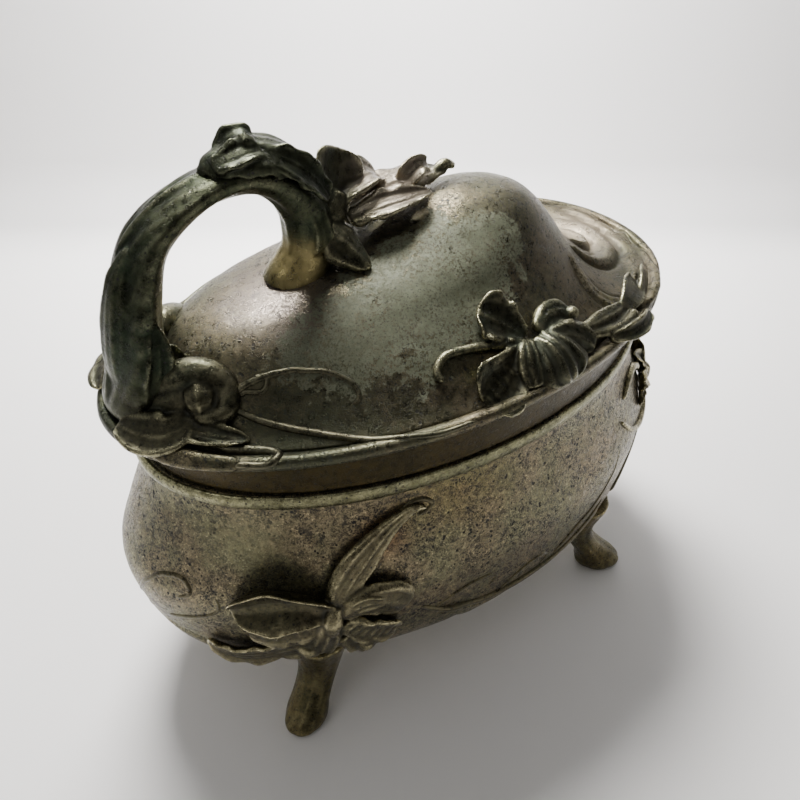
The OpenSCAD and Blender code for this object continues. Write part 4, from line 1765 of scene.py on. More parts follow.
@dataclass(frozen=True)
class EndBloom:
    """The smaller bloom and tendrils on the right end of the body."""

    name: str = "end_bloom_cast"

    def build(self) -> bpy.types.Object:
        """Makes the bloom and its two tendrils as one casting.

        Returns:
            The object.
        """
        petals = [
            wall_petal([(-22, 53, 1.2), (-21, 58, 2.2), (-23, 63, 2.0), (-26, 67, 1.0)], width=(1.6, 3.0, 3.0, 1.2),
                       ruffle=0.4, cup=(0.4, 1.0, 0.4)),
            wall_petal([(-22, 56, 1.4), (-18, 59.5, 1.2), (-13.5, 62.5, 1.0), (-9.5, 64, 1.0)],
                       width=(2.2, 4.8, 5.4, 3.6), ruffle=0.3,
                       cup=(0.8, 2.4, 2.4), lip=0.5, veins=0.08),
            wall_petal([(-22, 55, 1.8), (-19, 52, 2.2), (-16, 48, 1.4), (-14, 44, 0.6)], width=(1.6, 3.2, 3.0, 1.2),
                       ruffle=0.6, cup=(0.4, 1.2, 0.6), hatch=0.2),
            wall_petal([(-24, 57, 1.4), (-29, 58.5, 1.6), (-33, 57, 1.2), (-36, 54, 0.6)],
                       width=(1.4, 2.8, 2.4, 1.0), ruffle=0.5, cup=(0.3, 0.9, 0.4)),
        ]
        parts = [petal.build(f"end_{k}") for k, petal in enumerate(petals)]
        parts.append(tube("end_heart", [on_body(-21, 60, 2.2), on_body(-21.5, 57, 3.0), on_body(-22, 54, 2.4)],
                          (1.2, 1.8, 1.2)))
        for k, path in enumerate((
            [(-24, 54, 0.6), (-30, 50, 0.5), (-38, 50, 0.5), (-45, 53, 0.4), (-50, 60, 0.2)],
            [(-27, 63, 0.6), (-33, 67, 0.5), (-40, 67.5, 0.4), (-46, 65, 0.2)],
            [(-20, 50, 0.6), (-25, 43, 0.5), (-33, 38, 0.5), (-41, 36, 0.3)],
        )):
            parts.append(tube(f"end_tendril_{k}", [on_body(*q) for q in path], (1.3, 1.1, 0.9, 0.6), along=90))
        obj = fuse(parts, self.name, 0.3, 1)
        hold_out(obj)
        return obj


# --------------------------------------------------------------------------- the lid


def lid_rings(stations: Array, count: int = 600) -> Array:
    """Rings of the lid.

    Args:
        stations: left reach, right reach, half width, height, share of the lift and of the draw-in.
        count: points round each ring.

    Returns:
        Points, rings by count by three.
    """
    t = circle(count)
    lift, draw = flange_lift(t), flange_reach(t) - 1
    mid, half = (stations[:, 0] + stations[:, 1]) / 2, (stations[:, 1] - stations[:, 0]) / 2
    scale = 1 + np.outer(stations[:, 5], draw)
    return np.stack([
        (mid[:, None] + np.outer(half, np.cos(t))) * scale, np.outer(stations[:, 2], np.sin(t)) * scale,
        stations[:, 3][:, None] + np.outer(stations[:, 4], lift),
    ], 2)


def dome_station(row: Sequence[float], inset: float = 0.0, drop: float = 0.0) -> tuple:
    """One ring of the dome in millimetres.

    Args:
        row: a row of DOME.
        inset: distance in from the outer face.
        drop: distance down from it.

    Returns:
        A station for lid_rings.
    """
    z = SIZE.dome_base + row[3] * SIZE.rise - drop
    return (row[0] * SIZE.lid_a + inset, row[1] * SIZE.lid_a - inset, row[2] * SIZE.lid_b - inset, z, row[4],
            row[4] * 0.6)


@dataclass(frozen=True)
class Lid:
    """The domed lid with its waved flange, and its collar.

    Attributes:
        columns: points round the oval.
        rows: rings on the dome.
    """

    columns: int = 600
    rows: int = 92

    def relief(self) -> list[Line]:
        """Whiplash tendrils, leaves and waves of the lid.

        Returns:
            The lines.
        """
        front = [
            Line(((-58, -19, 96.4), (-53.1, -16.7, 100.9), (-44.7, -18.9, 105.5), (-36, -23, 106.2),
                  (-31, -26.5, 104.6), (-28.6, -29.9, 101.0),
                  (-31, -30.5, 100)), (1.3, 1.2, 1.0, 0.9, 0.8), (1.0, 1.1, 1.0, 0.9, 0.6)),
            Line(((-53.5, -17.3, 100.1), (-49, -23, 98.5), (-42.4, -28.7, 97), (-31, -36.5, 95.2),
                  (-19.2, -41.3, 94.4), (-8, -42.6, 94.4)),
                 (1.0, 1.3, 1.2, 0.9, 0.5), (0.8, 1.0, 0.9, 0.6, 0.3)),
            Line(((-50, -17.5, 102), (-46, -20.5, 103.4), (-44.7, -18.9, 105.5), (-47, -17.8, 105)), (0.9, 0.9, 0.7),
                 (0.7, 0.8, 0.6)),
            Line(((-62, -17, 95.6), (-56, -24, 95.0), (-48, -30.5, 94.9), (-52, -32.5, 94.6), (-57, -29, 94.8)),
                 (1.8, 1.8, 1.4, 1.0), (1.2, 1.2, 0.9, 0.5)),
            Line(((-70, -12, 95), (-66, -21, 94.8), (-58, -29, 94.8)), (2.2, 2.6, 1.6), (1.0, 1.2, 0.8), Form.LEAF),
        ]
        right = [
            Line(((40.4, -14.8, 103.8), (40.6, -20, 100.5), (44, -25.5, 97.6), (52, -27.5, 95.6), (61, -22.5, 94.9),
                  (68, -12, 94.8), (71.5, 0, 95)),
                 (1.2, 2.0, 2.4, 2.4, 2.0, 1.4), (0.8, 1.3, 1.5, 1.4, 1.2, 0.8), Form.LEAF),
            Line(((44, -9, 103), (50, -11.5, 100.4), (57, -10, 98.4), (62, -4, 97.6), (63.4, 4, 97.6),
                  (60, 12, 98.6), (53, 18, 100.4)),
                 (1.0, 2.6, 3.6, 4.0, 3.6, 1.6), (0.8, 1.4, 1.8, 1.8, 1.6, 0.8), Form.RIDGE),
            Line(((50, -3, 101.6), (54, -3.6, 100.4), (57, -1, 99.6), (57.6, 4, 99.6), (54.6, 8.4, 100.6)),
                 (1.0, 2.0, 2.4, 2.2, 1.2),
                 (0.8, 1.6, 1.9, 1.7, 0.8), Form.RIDGE),
            Line(((66, 6, 97), (63, 14, 98.6), (57, 21, 99.6), (49, 26.5, 100.4), (40, 30.5, 101)),
                 (2.0, 3.0, 3.0, 2.0), (1.0, 1.4, 1.3, 0.8), Form.RIDGE),
            Line(((58, -20, 95.6), (64.5, -13, 95.2), (68.4, -4, 95.2), (69.4, 5, 95.3), (67, 14, 95.6),
                  (60, 23, 96)), (1.2, 1.8, 2.0, 2.0, 1.8, 1.0),
                 (0.7, 1.1, 1.2, 1.2, 1.1, 0.6), Form.RIDGE),
            Line(((46, 12, 104.8), (41, 20, 105), (35, 26, 104), (28, 30, 102)), (1.4, 2.4, 2.4, 1.2),
                 (0.7, 1.2, 1.1, 0.5), Form.RIDGE),
        ]
        back = [
            Line(((-50, 17, 103), (-40, 24, 104.5), (-30, 27, 105), (-22, 31, 101), (-25, 33.5, 99.6)),
                 (1.2, 1.1, 1.0, 0.8), (1.0, 1.0, 0.9, 0.6)),
            Line(((-54, 18, 100), (-44, 28.5, 97.5), (-30, 36, 95.6), (-14, 40.5, 94.8), (2, 42, 94.8)),
                 (1.0, 1.3, 1.1, 0.7), (0.8, 1.0, 0.8, 0.4)),
            Line(((-68, 12, 95), (-62, 21, 94.9), (-54, 29, 94.8)), (2.2, 2.6, 1.6), (1.0, 1.2, 0.8), Form.LEAF),
            Line(((4, 33, 101), (12, 30, 103.5), (20, 31, 102.5), (26, 35.5, 99)), (1.6, 2.6, 2.6, 1.2),
                 (0.9, 1.4, 1.3, 0.6), Form.LEAF),
            Line(((6, 35, 99), (13, 37.5, 96.6), (21, 39, 95.8)), (1.4, 2.4, 1.4), (0.8, 1.3, 0.6), Form.LEAF),
            Line(((2, 34, 100), (-5, 34.5, 99.5), (-11, 31.5, 101.5)), (1.4, 2.2, 1.0), (0.8, 1.2, 0.5), Form.LEAF),
        ]
        return front + right + back

    def build(self) -> bpy.types.Object:
        """Makes the thick lid as one closed skin with its relief and its bare patch.

        Returns:
            The object.
        """
        wall, under = SIZE.wall, SIZE.flange_under
        crest = (SIZE.crest_x, SIZE.crest_x)
        inner = [(*crest, 0, SIZE.crest - wall, 0, 0)]
        inner += [dome_station(row, wall, wall) for row in DOME[::-1][1:] if row[3] > 0.1]
        inner += [(-65.2, 62.8, 37.0, under + 1.2, 0, 0), (-66.2, 66.2, 39.0, under, 0, 0)]
        a, b, top = SIZE.lid_a, SIZE.lid_b, SIZE.flange_top

        def edge(inset: float, z: float, share: float) -> tuple:
            """A station on the flange's edge.

            Args:
                inset: distance in from the outermost line.
                z: height.
                share: share of the flange's lift.

            Returns:
                A station for lid_rings.
            """
            return (-(a - inset), a - inset, b - inset, z, share, 1)

        under_face = [inner[-1], (-68.5, 68.5, 40.15, under, 0, 0), edge(1.6, under, 1)]
        roll = [edge(1.6, under, 1), edge(0.5, under + 0.35, 1), edge(0.05, under + 1.1, 1), edge(0, under + 1.9, 1),
                edge(0.5, top - 0.25, 1), edge(1.5, top + 0.05, 1), edge(2.7, top - 0.25, 1),
                edge(3.5, top - 0.9, 0.95),
                edge(4.4, top - 1.0, 0.9)]
        dome = [dome_station(row) for row in DOME]
        dome += [(*crest, 0, SIZE.crest + 0.12, 0, 0)]
        weight = STATION_WEIGHTS
        inner_rings, under_rings, plain_roll = 24, 10, 8
        rings = np.concatenate([
            catmull(np.array(inner), inner_rings, weight), catmull(np.array(under_face), under_rings, weight)[1:-1],
            catmull(np.array(roll), 30, weight),
            catmull(np.array([roll[-1]] + dome), self.rows, weight)[1:],
        ])
        points = lid_rings(rings, self.columns)
        start = inner_rings + under_rings - 2 + plain_roll
        points = press(points, self.relief(), slice(start, len(rings)), 0.12)
        obj = grid_object("lid_shell_cast", points, wrap_u=True)
        self._mark_bare(obj)
        return obj

    def _mark_bare(self, obj: bpy.types.Object) -> None:
        """Writes where the plating has gone, as a soft-edged outline on the front of the dome.

        Args:
            obj: the lid.
        """
        outline = np.array([
            (-41, -17), (-33, -13.5), (-25, -12), (-17, -9.5), (-10, -6), (-2, -5), (8, -7.5), (15, -9), (19.5, -12),
            (19, -18),
            (13, -24), (4, -28.5), (-8, -31), (-20, -30), (-30, -28), (-38, -24), (-42, -20), (-41, -17),
        ])
        path = catmull(outline, 120)
        co, _ = mesh_arrays(obj.data)
        p = co[:, :2] / MM
        ang = np.unwrap(np.arctan2(path[None, :, 1] - p[:, 1, None], path[None, :, 0] - p[:, 0, None]), axis=1)
        inside = np.abs(ang[:, -1] - ang[:, 0]) > math.pi
        away = np.sqrt(((p[:, None] - path[None]) ** 2).sum(2)).min(1)
        value = np.clip(0.5 + np.where(inside, away, -away) / 11, 0, 1) * (co[:, 2] > 0.0955)
        layer = obj.data.attributes.new("bare", "FLOAT", "POINT")
        layer.data.foreach_set("value", value.astype(np.float32))

    def collar(self) -> bpy.types.Object:
        """Makes the upright band under the flange.

        Returns:
            The object.
        """
        lo, hi, wall = SIZE.collar_base, SIZE.flange_under + 0.4, SIZE.wall
        outer = [(-0.9, lo), (-0.6, lo + 0.3), (-0.55, lo + 1.2), (-0.62, lo + 1.5), (-0.6, lo + 5.5),
                 (-0.6, lo + 9.4),
                 (-0.5, lo + 9.9), (-0.45, hi)]
        inner = [(-0.6 - wall, hi), (-0.6 - wall, lo + 5), (-0.6 - wall, lo), (-0.9, lo)]
        section = np.concatenate([catmull(np.array(outer), 44), catmull(np.array(inner), 16)[1:-1]])
        t = circle(600)
        a, b = SIZE.neck_a + section[:, 0], SIZE.neck_b + SIZE.share * section[:, 0]
        points = np.stack([np.outer(a, np.cos(t)), np.outer(b, np.sin(t)), np.repeat(section[:, 1:2], len(t), 1)], 2)
        seat(points, 9.2, 82.6, 83.2, 39.8)
        flat = points.reshape(-1, 3)
        swell = 0.05 * value_noise(flat, 4.0, 11).reshape(points.shape[:2])
        points[:44, :, :2] *= (1 + swell[:44, :, None] / 60)
        return grid_object("lid_collar_cast", points, wrap_u=True, wrap_v=True)


@dataclass(frozen=True)
class Handle:
    """The loop handle, grown as a broad leaf that narrows to a post.

    Attributes:
        width: strap width at its widest.
        top: height of the crest of the strap.
    """

    width: float = 19.0
    top: float = 139.8

    def path(self) -> Array:
        """Stations: X, height, half width and half thickness.

        Returns:
            One row per station.
        """
        hw = self.width / 2
        rows = [
            (-69.8, 45.6, 0.6 * hw, 3.6), (-69.4, 44.6, 0.93 * hw, 4.9), (-67, 40, 1.0 * hw, 5.5),
            (-65, 33, 1.0 * hw, 5.25), (-62.6, 21.6, 0.92 * hw, 4.8),
            (-58, 10, 0.76 * hw, 3.8), (-51, 4.2, 0.64 * hw, 3.1), (-43.6, 1.2, 0.57 * hw, 2.9),
            (-36, 1.0, 0.53 * hw, 3.2),
            (-30, 4, 0.52 * hw, 3.9), (-26.0, 9.4, 0.53 * hw, 4.8), (-24.6, 14, 0.56 * hw, 5.5),
            (-24.6, 17.5, 0.57 * hw, 5.6),
            (-25, 20.4, 0.58 * hw, 6.0), (-25.8, 23.0, 0.61 * hw, 6.8), (-26.6, 25.6, 0.66 * hw, 8.0),
            (-27.2, 27.8, 0.68 * hw, 8.6),
        ]
        return catmull(np.array([(x, self.top - d, w, t) for x, d, w, t in rows]), 300)

    def build(self) -> bpy.types.Object:
        """Makes the strap with its midrib, veins and layered leaves, as one casting.

        Returns:
            The object.
        """
        s = self.path()
        tx, tz = np.gradient(s[:, 0]), np.gradient(s[:, 1])
        length = np.hypot(tx, tz)
        nx, nz = -tz / length, tx / length
        run = np.cumsum(length)
        share = run / run[-1]
        phi = circle(130)
        c, d = np.cos(phi), np.sin(phi)
        outer = np.clip(c, 0, 1)[None]
        serrate = 1 + 0.05 * np.abs(np.sin(run * 0.55))[:, None] * (np.abs(d) ** 6)[None] * (1 - share)[:, None]
        across = s[:, 2][:, None] * d[None] * serrate
        veins = np.cos(np.abs(across) * 2.3 - run[:, None] * 0.55 + 0.5)
        fade = smoothstep(0.0, 0.08, share)[:, None] * smoothstep(1.0, 0.7, share)[:, None]
        rib = 0.7 * np.exp(-((across / 0.8) ** 2)) - 0.35 * np.exp(-(((np.abs(across) - 1.7) / 0.7) ** 2))
        curl = 1.1 * (np.abs(d) ** 5)[None]
        inner = np.clip(-c, 0, 1)[None]
        raised = outer**0.5 * fade * (rib + 0.13 * veins) * smoothstep(0.75, 0.4, share)[:, None]
        thick = s[:, 3][:, None] * c[None] + raised + curl * fade * 0.45 * (outer > 0)
        thick = thick - inner * fade * 0.25 * np.cos(across * 2.0 + run[:, None] * 0.2)
        sway = 1.2 * np.sin(share * math.pi * 1.6)[:, None]
        points = np.stack([s[:, 0][:, None] + nx[:, None] * thick, across + sway * (share * (1 - share) * 4)[:, None],
                           s[:, 1][:, None] + nz[:, None] * thick], 2)
        # The post ends on a sloped plane that lies inside the lid's wall.
        post, post_x, end_height, end_slope = share > 0.8, -27, 112.5, 0.2
        inside_wall = end_height + end_slope * (points[..., 0] - post_x)
        points[post, :, 2] = np.maximum(points[post, :, 2], inside_wall[post])
        strap = grid_object("strap", capped(points), wrap_u=True)
        parts = [strap] + [leaf.build(f"leaf_{k}") for k, leaf in enumerate(self.leaves())]
        return fuse(parts, "handle_cast", 0.36, 1)

    def leaves(self) -> list[Petal]:
        """Leaves laid along the strap, with their free, ragged edges.

        Returns:
            The leaves.
        """
        return [
            Petal(((-68.6, -2, 99), (-69.2, -2.4, 106), (-68.2, -2.4, 114), (-65.6, -1.8, 124), (-61.4, -1.0, 131)),
                  ((-0.9, -0.4, 0.1), (-0.6, -0.4, 0.7)), (3.2, 5.0, 5.2, 4.0, 1.8), (4.4, 4.2, 3.6, 2.4),
                  (-0.8, -1.6, -1.2, -0.4), 0.25, 4.0,
                  0.16, lip=0.2),
            *(
                Petal(((-65.6, 8.2 * m, 96.5), (-63.8, 9.0 * m, 103), (-62.2, 8.6 * m, 110), (-61.6, 7.0 * m, 117)),
                      ((0.0, m, 0.1), (0.0, m, 0.3)), (2.4, 3.6, 3.0, 1.4), (2.6, 2.0, 1.4), (0.1, 0.4, 0.2), 0.4,
                      3.0,
                      0.2, lip=0.3)
                for m in (-1, 1)
            ),
            Petal(((-56.5, -4.4, 101), (-58.4, -5.6, 105), (-59.6, -5.4, 110)), ((0.7, -0.7, 0.2), (0.7, -0.7, 0.2)),
                  (3.0, 3.0, 1.4), (2.6, 1.8, 1.2),
                  (0.2, 0.4, 0.2), 0.5, 3.0, 0.4),
            Petal(((-24.6, -3.6, 118.8), (-23.4, -5.2, 121.5), (-23.4, -5.2, 126), (-24.6, -4.2, 131)),
                  ((0.2, -1, 0), (0.2, -1, 0.2)), (2.6, 2.6, 2.2, 1.6),
                  (2.6, 2.0, 1.6), (0.1, 0.2, 0.1), 0.1, 2.0, 0.1, lip=0.3),
        ]


@dataclass(frozen=True)
class Bloom:
    """A cluster of petals cast as one.

    Attributes:
        name: the piece's name.
        node: the CAD node it stands for.
        petals: its petals.
        stems: rounded stems as points and radii.
        voxel: fineness of the casting in millimetres.
    """

    name: str
    node: str
    petals: tuple
    stems: tuple = ()
    voxel: float = 0.34

    def build(self) -> bpy.types.Object:
        """Makes the cluster as one closed skin.

        Returns:
            The object.
        """
        parts = [petal.build(f"{self.name}_{k}") for k, petal in enumerate(self.petals)]
        parts += [tube(f"{self.name}_stem_{k}", *stem) for k, stem in enumerate(self.stems)]
        return fuse(parts, self.name, self.voxel, 1)


UP = (0, 0, 1)
HANDLE_LEAVES = Bloom(
    "handle_top_leaves", "handle_leaves",
    (
        Petal(((-45, 0, 141.6), (-41, -0.6, 143.6), (-36, -1, 144.8), (-30, -1.4, 143.2), (-25, -2, 139.4),
               (-21, -2.6, 134.6)),
              ((-0.3, -0.3, 1), (0.8, -0.3, 0.6)), (3.4, 6.0, 6.2, 5.6, 4.8, 3.2), (3.4, 2.8, 2.4, 1.8),
              (-1.4, -2.6, -2.4, -2.0, -1.4), 0.8, 3.6, 0.22,
              lip=0.25),
        Petal(((-43.5, -2.4, 142.8), (-40.5, -3.2, 144), (-37, -3.2, 144.8), (-33.6, -2.4, 144)),
              ((-0.2, -0.6, 1), (0.2, -0.6, 1)),
              (1.8, 3.0, 3.0, 1.8), (2.4, 1.8, 1.4), (0.0, 0.4, 0.2), 0.5, 2.6, 0.25),
        Petal(((-34, -3, 143.6), (-29, -4.2, 141.2), (-24.6, -5, 137), (-21.6, -5.6, 132)),
              ((0, -0.8, 0.8), (0.6, -0.8, 0.4)),
              (2.0, 3.6, 3.6, 2.0), (2.6, 2.0, 1.4), (0.2, 0.8, 0.5), 0.7, 3.0, 0.25),
        Petal(((-41, 1.5, 143.4), (-38.4, 1.2, 146), (-36, 0.6, 147), (-34, 0, 145.8)),
              ((-0.6, -0.3, 0.7), (0.5, -0.3, 0.9)),
              (1.8, 2.6, 2.4, 1.6), (2.2, 1.6, 1.2), (0.3, 0.6, 0.3), 0.4, 2.0, 0.2),
    ),
    ((((-46, 0.4, 140.6), (-38, 0.4, 142.4), (-31, 0.2, 141.6), (-25, -0.6, 137.6), (-20, -1, 132)),
      (1.6, 2.6, 2.6, 2.6, 2.2)),
     (((-38, -1.4, 145.2), (-36.2, -1.6, 146), (-34.6, -1.6, 145.6)), (0.9, 1.5, 1.0))),
    0.32,
)
DOME_IRIS = Bloom(
    "crest_iris", "dome_iris",
    (
        Petal(((-19, 0.5, 126.5), (-17.4, 1.6, 131), (-15.8, 3, 135), (-14.2, 4.2, 138.2)),
              ((0.55, -0.75, 0.3), (0.35, -0.8, 0.5)),
              (3.0, 6.2, 7.2, 5.8), (3.2, 2.2, 1.6), (0.3, 1.6, 2.0), 0.35, 2.2, 0.16),
        Petal(((-18, 1, 127), (-12, 3, 130.2), (-7.5, 4.6, 130.4), (-3.8, 5.4, 128)),
              ((0, -0.3, 1), (0.6, -0.2, 0.9)),
              (2.4, 4.8, 5.0, 3.2), (3.2, 2.2, 1.6), (0.3, 1.2, 1.0), 0.6, 2.6, 0.2),
        Petal(((-15, 2, 124.6), (-7, 3, 126.6), (1, 4.6, 127.2), (8, 5.6, 126.8), (15, 6, 125.6)),
              ((0, -0.2, 1), (0.1, -0.2, 1)),
              (2.4, 4.6, 5.2, 4.4, 2.0), (3.4, 2.6, 2.0, 1.6), (-0.2, -1.0, -1.0, -0.4), 0.6, 3.0, 0.24),
        Petal(((-15, -1, 123.6), (-8, -2.4, 125.6), (-1, -2.6, 126), (6, -1.4, 125.4)),
              ((0, -0.5, 1), (0.1, -0.5, 1)),
              (2.2, 3.6, 3.4, 1.2), (3.0, 2.0, 1.3), (0.2, 0.8, 0.5), 0.7, 3.2, 0.3),
        Petal(((-21.5, -3, 124.5), (-19.4, -5.6, 122.4), (-17, -8.4, 119.4), (-15.4, -11, 116.8)),
              ((0.1, -0.7, 0.8), (0.1, -0.7, 0.8)),
              (3.4, 5.2, 4.4, 1.6), (3.4, 2.6, 1.8), (-1.0, -2.4, -1.6), 0.15, 2.0, 0.2),
        Petal(((-15, 6, 122), (-8, 9, 122.4), (-1, 10.6, 122), (5, 10.6, 121.6)), ((0, 0.6, 0.8), (0.1, 0.7, 0.7)),
              (2.2, 3.6, 3.2, 1.2), (3.0, 2.0, 1.3), (0.2, 0.8, 0.5), 0.7, 3.2, 0.3),
        Petal(((-20, 5, 123), (-19, 8.6, 121), (-17, 12, 118)), ((0.1, 0.7, 0.7), (0.1, 0.7, 0.7)), (2.4, 3.6, 1.6),
              (3.0, 2.2, 1.4), (-0.4, -1.0, -0.5), 0.3, 2.0, 0.3),
        Petal(((0, 3, 126), (3, 2.6, 129), (5.6, 2.8, 130.2), (8, 3.6, 129)), ((-0.3, -0.8, 0.6), (0.2, -0.7, 0.8)),
              (1.4, 2.8, 2.6, 1.0), (2.2, 1.6, 1.2), (0.3, 0.9, 0.4), 0.6, 2.2, 0.2),
    ),
    ((((-20, 0, 122), (-18.5, 0.6, 127), (-16, 1.6, 130)), (3.6, 3.8, 2.4)),
     (((-15, 2, 123.4), (-4, 3, 125), (8, 4.6, 125)), (2.6, 2.4, 1.6)),
     (((10, 5, 126), (14, 5.4, 127.4), (17, 6, 126)), (1.0, 1.4, 0.8))),
)
LID_IRIS = Bloom(
    "front_lid_iris", "lid_iris",
    (
        Petal(((11.5, -31.8, 101.4), (8.6, -29.4, 104.2), (5.2, -27.6, 106.8), (2, -26.2, 108.8)),
              ((0, -0.75, 0.7), (0, -0.7, 0.75)),
              (2.2, 5.0, 6.0, 4.6), (3.2, 2.2, 1.8), (0.3, 1.2, 1.2), 0.9, 2.6, 0.28, lip=0.5),
        Petal(((10, -34, 99.4), (5.2, -36, 98), (0.4, -37.8, 96.4), (-4.6, -39.4, 95)),
              ((0, -0.8, 0.6), (-0.1, -0.8, 0.6)),
              (2.8, 6.2, 7.4, 5.8), (3.2, 2.2, 1.8), (0.8, 1.8, 2.0), 0.5, 2.8, 0.3, 0.18, 0.7),
        Petal(((14.6, -32.6, 100.6), (15.6, -36.6, 100.2), (16.8, -40, 97.2), (17.6, -42, 93.2)),
              ((0, -0.5, 0.9), (0.1, -1, 0.2)),
              (3.8, 7.2, 8.6, 7.4), (4.6, 4.4, 3.4), (-0.8, -2.4, -2.6, -2.0), 0.2, 1.6, 0.6, lip=0.15),
        Petal(((15, -32, 102), (19.4, -30, 103.6), (23.4, -29.8, 102.8), (26.6, -31.6, 100)),
              ((0, -0.6, 0.8), (0.4, -0.7, 0.6)),
              (1.8, 3.2, 3.4, 2.4), (3.0, 2.4, 1.8), (-0.3, -1.0, -0.8), 0.4, 2.2, 0.2),
        Petal(((17, -33.6, 101), (22, -34.4, 100.2), (26.4, -35.8, 98), (29, -37, 95.4)),
              ((0.1, -0.7, 0.7), (0.2, -0.9, 0.4)),
              (2.2, 3.6, 3.8, 2.6), (3.2, 2.4, 1.8), (-0.2, -0.8, -0.6), 0.7, 2.6, 0.25),
        Petal(((11, -33, 101.6), (9.6, -36, 101), (8.6, -39, 98.4), (8.4, -41.4, 95)),
              ((-0.1, -0.6, 0.8), (-0.1, -1, 0.4)), (1.8, 2.8, 3.0, 2.2),
              (2.8, 2.2, 1.6), (-0.3, -0.8, -0.5), 0.3, 2.0, 0.3),
    ),
    ((((12.5, -33, 98), (12.8, -33.8, 100), (13, -34, 101)), (2.6, 2.6, 1.6)),
     (((11, -33, 101), (4, -32, 102.4), (-3, -31, 103.4), (-9, -30.6, 103.4), (-12, -32.4, 101.6),
       (-11.4, -34.4, 100)), (1.6, 1.3, 1.2, 1.1, 1.0, 0.8)),
     (((25, -30.4, 101.6), (26.4, -30.4, 102), (27.4, -31, 101.2)), (1.4, 1.8, 1.2))),
    0.32,
)
LID_BUD = Bloom(
    "bud_spray", "lid_bud",
    (
        Petal(((43, -30.6, 96.4), (47.4, -28, 97.4), (51.6, -24.8, 97.4), (55.6, -21, 96.6)),
              ((0.1, -0.7, 0.8), (0.2, -0.6, 0.8)),
              (1.6, 3.6, 3.8, 2.4), (2.6, 1.8, 1.6), (0.2, 0.7, 0.6), 0.1, 2.0, 0.08, lip=0.5),
        Petal(((52, -27.6, 94.8), (56, -24.6, 95.2), (60, -20.8, 95.3), (63.4, -16.6, 95.2)),
              ((0.2, -0.8, 0.6), (0.4, -0.7, 0.6)),
              (1.4, 3.2, 3.4, 2.0), (2.4, 1.8, 1.6), (0.2, 0.6, 0.5), 0.1, 2.0, 0.08, lip=0.5),
        Petal(((27, -33.4, 98.4), (33, -33, 98.2), (40, -31.4, 97.6), (46, -28.4, 97)),
              ((0, -0.7, 0.8), (0.1, -0.7, 0.8)),
              (1.4, 2.8, 2.8, 1.2), (2.6, 2.2, 1.8), (-0.4, -1.0, -0.5), 0.2, 2.4, 0.16),
        Petal(((34, -36.4, 95.6), (40, -37, 95.6), (46, -35.4, 95.4), (51, -32, 95.2)),
              ((0, -0.8, 0.7), (0.1, -0.8, 0.7)), (1.2, 2.2, 2.2, 1.2),
              (2.4, 1.8, 1.4), (0.2, 0.6, 0.3), 0.4, 2.6, 0.2),
    ),
    ((((26, -33.6, 98), (33, -35, 96.8), (40, -34.6, 96.2), (46, -32, 96.4)), (1.2, 1.2, 1.3, 1.4)),),
    0.3,
)
VOLUTE = Bloom(
    "handle_volute_scroll", "handle_volute",
    tuple(
        Petal(tuple((x, y * m, z) for x, y, z in pts), tuple((x, y * m, z) for x, y, z in face), *rest)
        for m in (1, -1)
        for pts, face, *rest in (
            (((-68, -6, 96), (-64, -9, 100.4), (-60, -11, 103), (-56, -12.5, 103.6), (-53, -15, 101.8)),
             ((-0.2, -0.6, 0.9), (0.3, -0.5, 0.9)),
             (2.4, 4.2, 4.8, 4.2, 2.4), (4.4, 4.2, 3.4, 2.4), (-0.6, -1.4, -1.2), 0.15, 2.0, 0.14),
            (((-60, -14.6, 98), (-65, -16.4, 97.2), (-69.6, -13, 96.6), (-73.2, -6.5, 96)),
             ((-0.2, -0.6, 0.9), (-0.4, -0.3, 0.9)),
             (2.6, 4.8, 4.8, 2.6), (3.2, 2.6, 1.8), (0.2, 0.7, 0.5), 0.3, 2.4, 0.26),
            (((-65, -11, 96.4), (-62, -16.5, 97), (-57.6, -21, 96.6), (-51.6, -25, 95.6)),
             ((-0.1, -0.5, 0.9), (0, -0.6, 0.9)),
             (1.8, 3.2, 3.0, 1.2), (3.0, 2.2, 1.4), (0.3, 0.8, 0.5), 0.6, 3.0, 0.3),
        )
    ),
    tuple(
        ((tuple((x, y * m, z) for x, y, z in pts)), radii)
        for m in (1, -1)
        for pts, radii in (
            (((-60.6, -12, 100), (-59, -12.8, 100.6), (-57, -13.6, 101), (-55, -14.6, 100.8), (-53.4, -15.4, 100.2)),
             (0.5, 3.8, 4.8, 3.8, 0.5)),
            (((-66, -4, 98), (-60.4, -8.4, 103.4), (-55.6, -11, 104.8), (-52, -14.8, 102.6), (-54, -18.2, 99.4),
              (-58, -17, 99), (-58, -13.6, 101)),
             (3.0, 3.6, 3.8, 3.4, 2.8, 2.2, 1.8)),
        )
    ),
    0.34,
)


# --------------------------------------------------------------------------- linings and cords


def cord_loop(name: str, out: float, z: float, radius: float, twists: int = 150) -> bpy.types.Object:
    """A three-strand twisted cord laid round the oval.

    Args:
        name: the piece's name.
        out: distance of its middle past the neck.
        z: its height.
        radius: its radius.
        twists: turns of the strands round the whole loop.

    Returns:
        The object.
    """
    t = circle(1500)
    phi = circle(20)
    strand = np.abs(np.cos(1.5 * (phi[None] + t[:, None] * twists / 3)))
    r = radius * (0.78 + 0.22 * strand)
    across, up = r * np.cos(phi)[None], r * np.sin(phi)[None]
    points = np.stack([
        (SIZE.neck_a + out + across) * np.cos(t)[:, None],
        (SIZE.neck_b + SIZE.share * out + across) * np.sin(t)[:, None],
        z + up,
    ], 2)
    return grid_object(name, points, wrap_u=True, wrap_v=True)


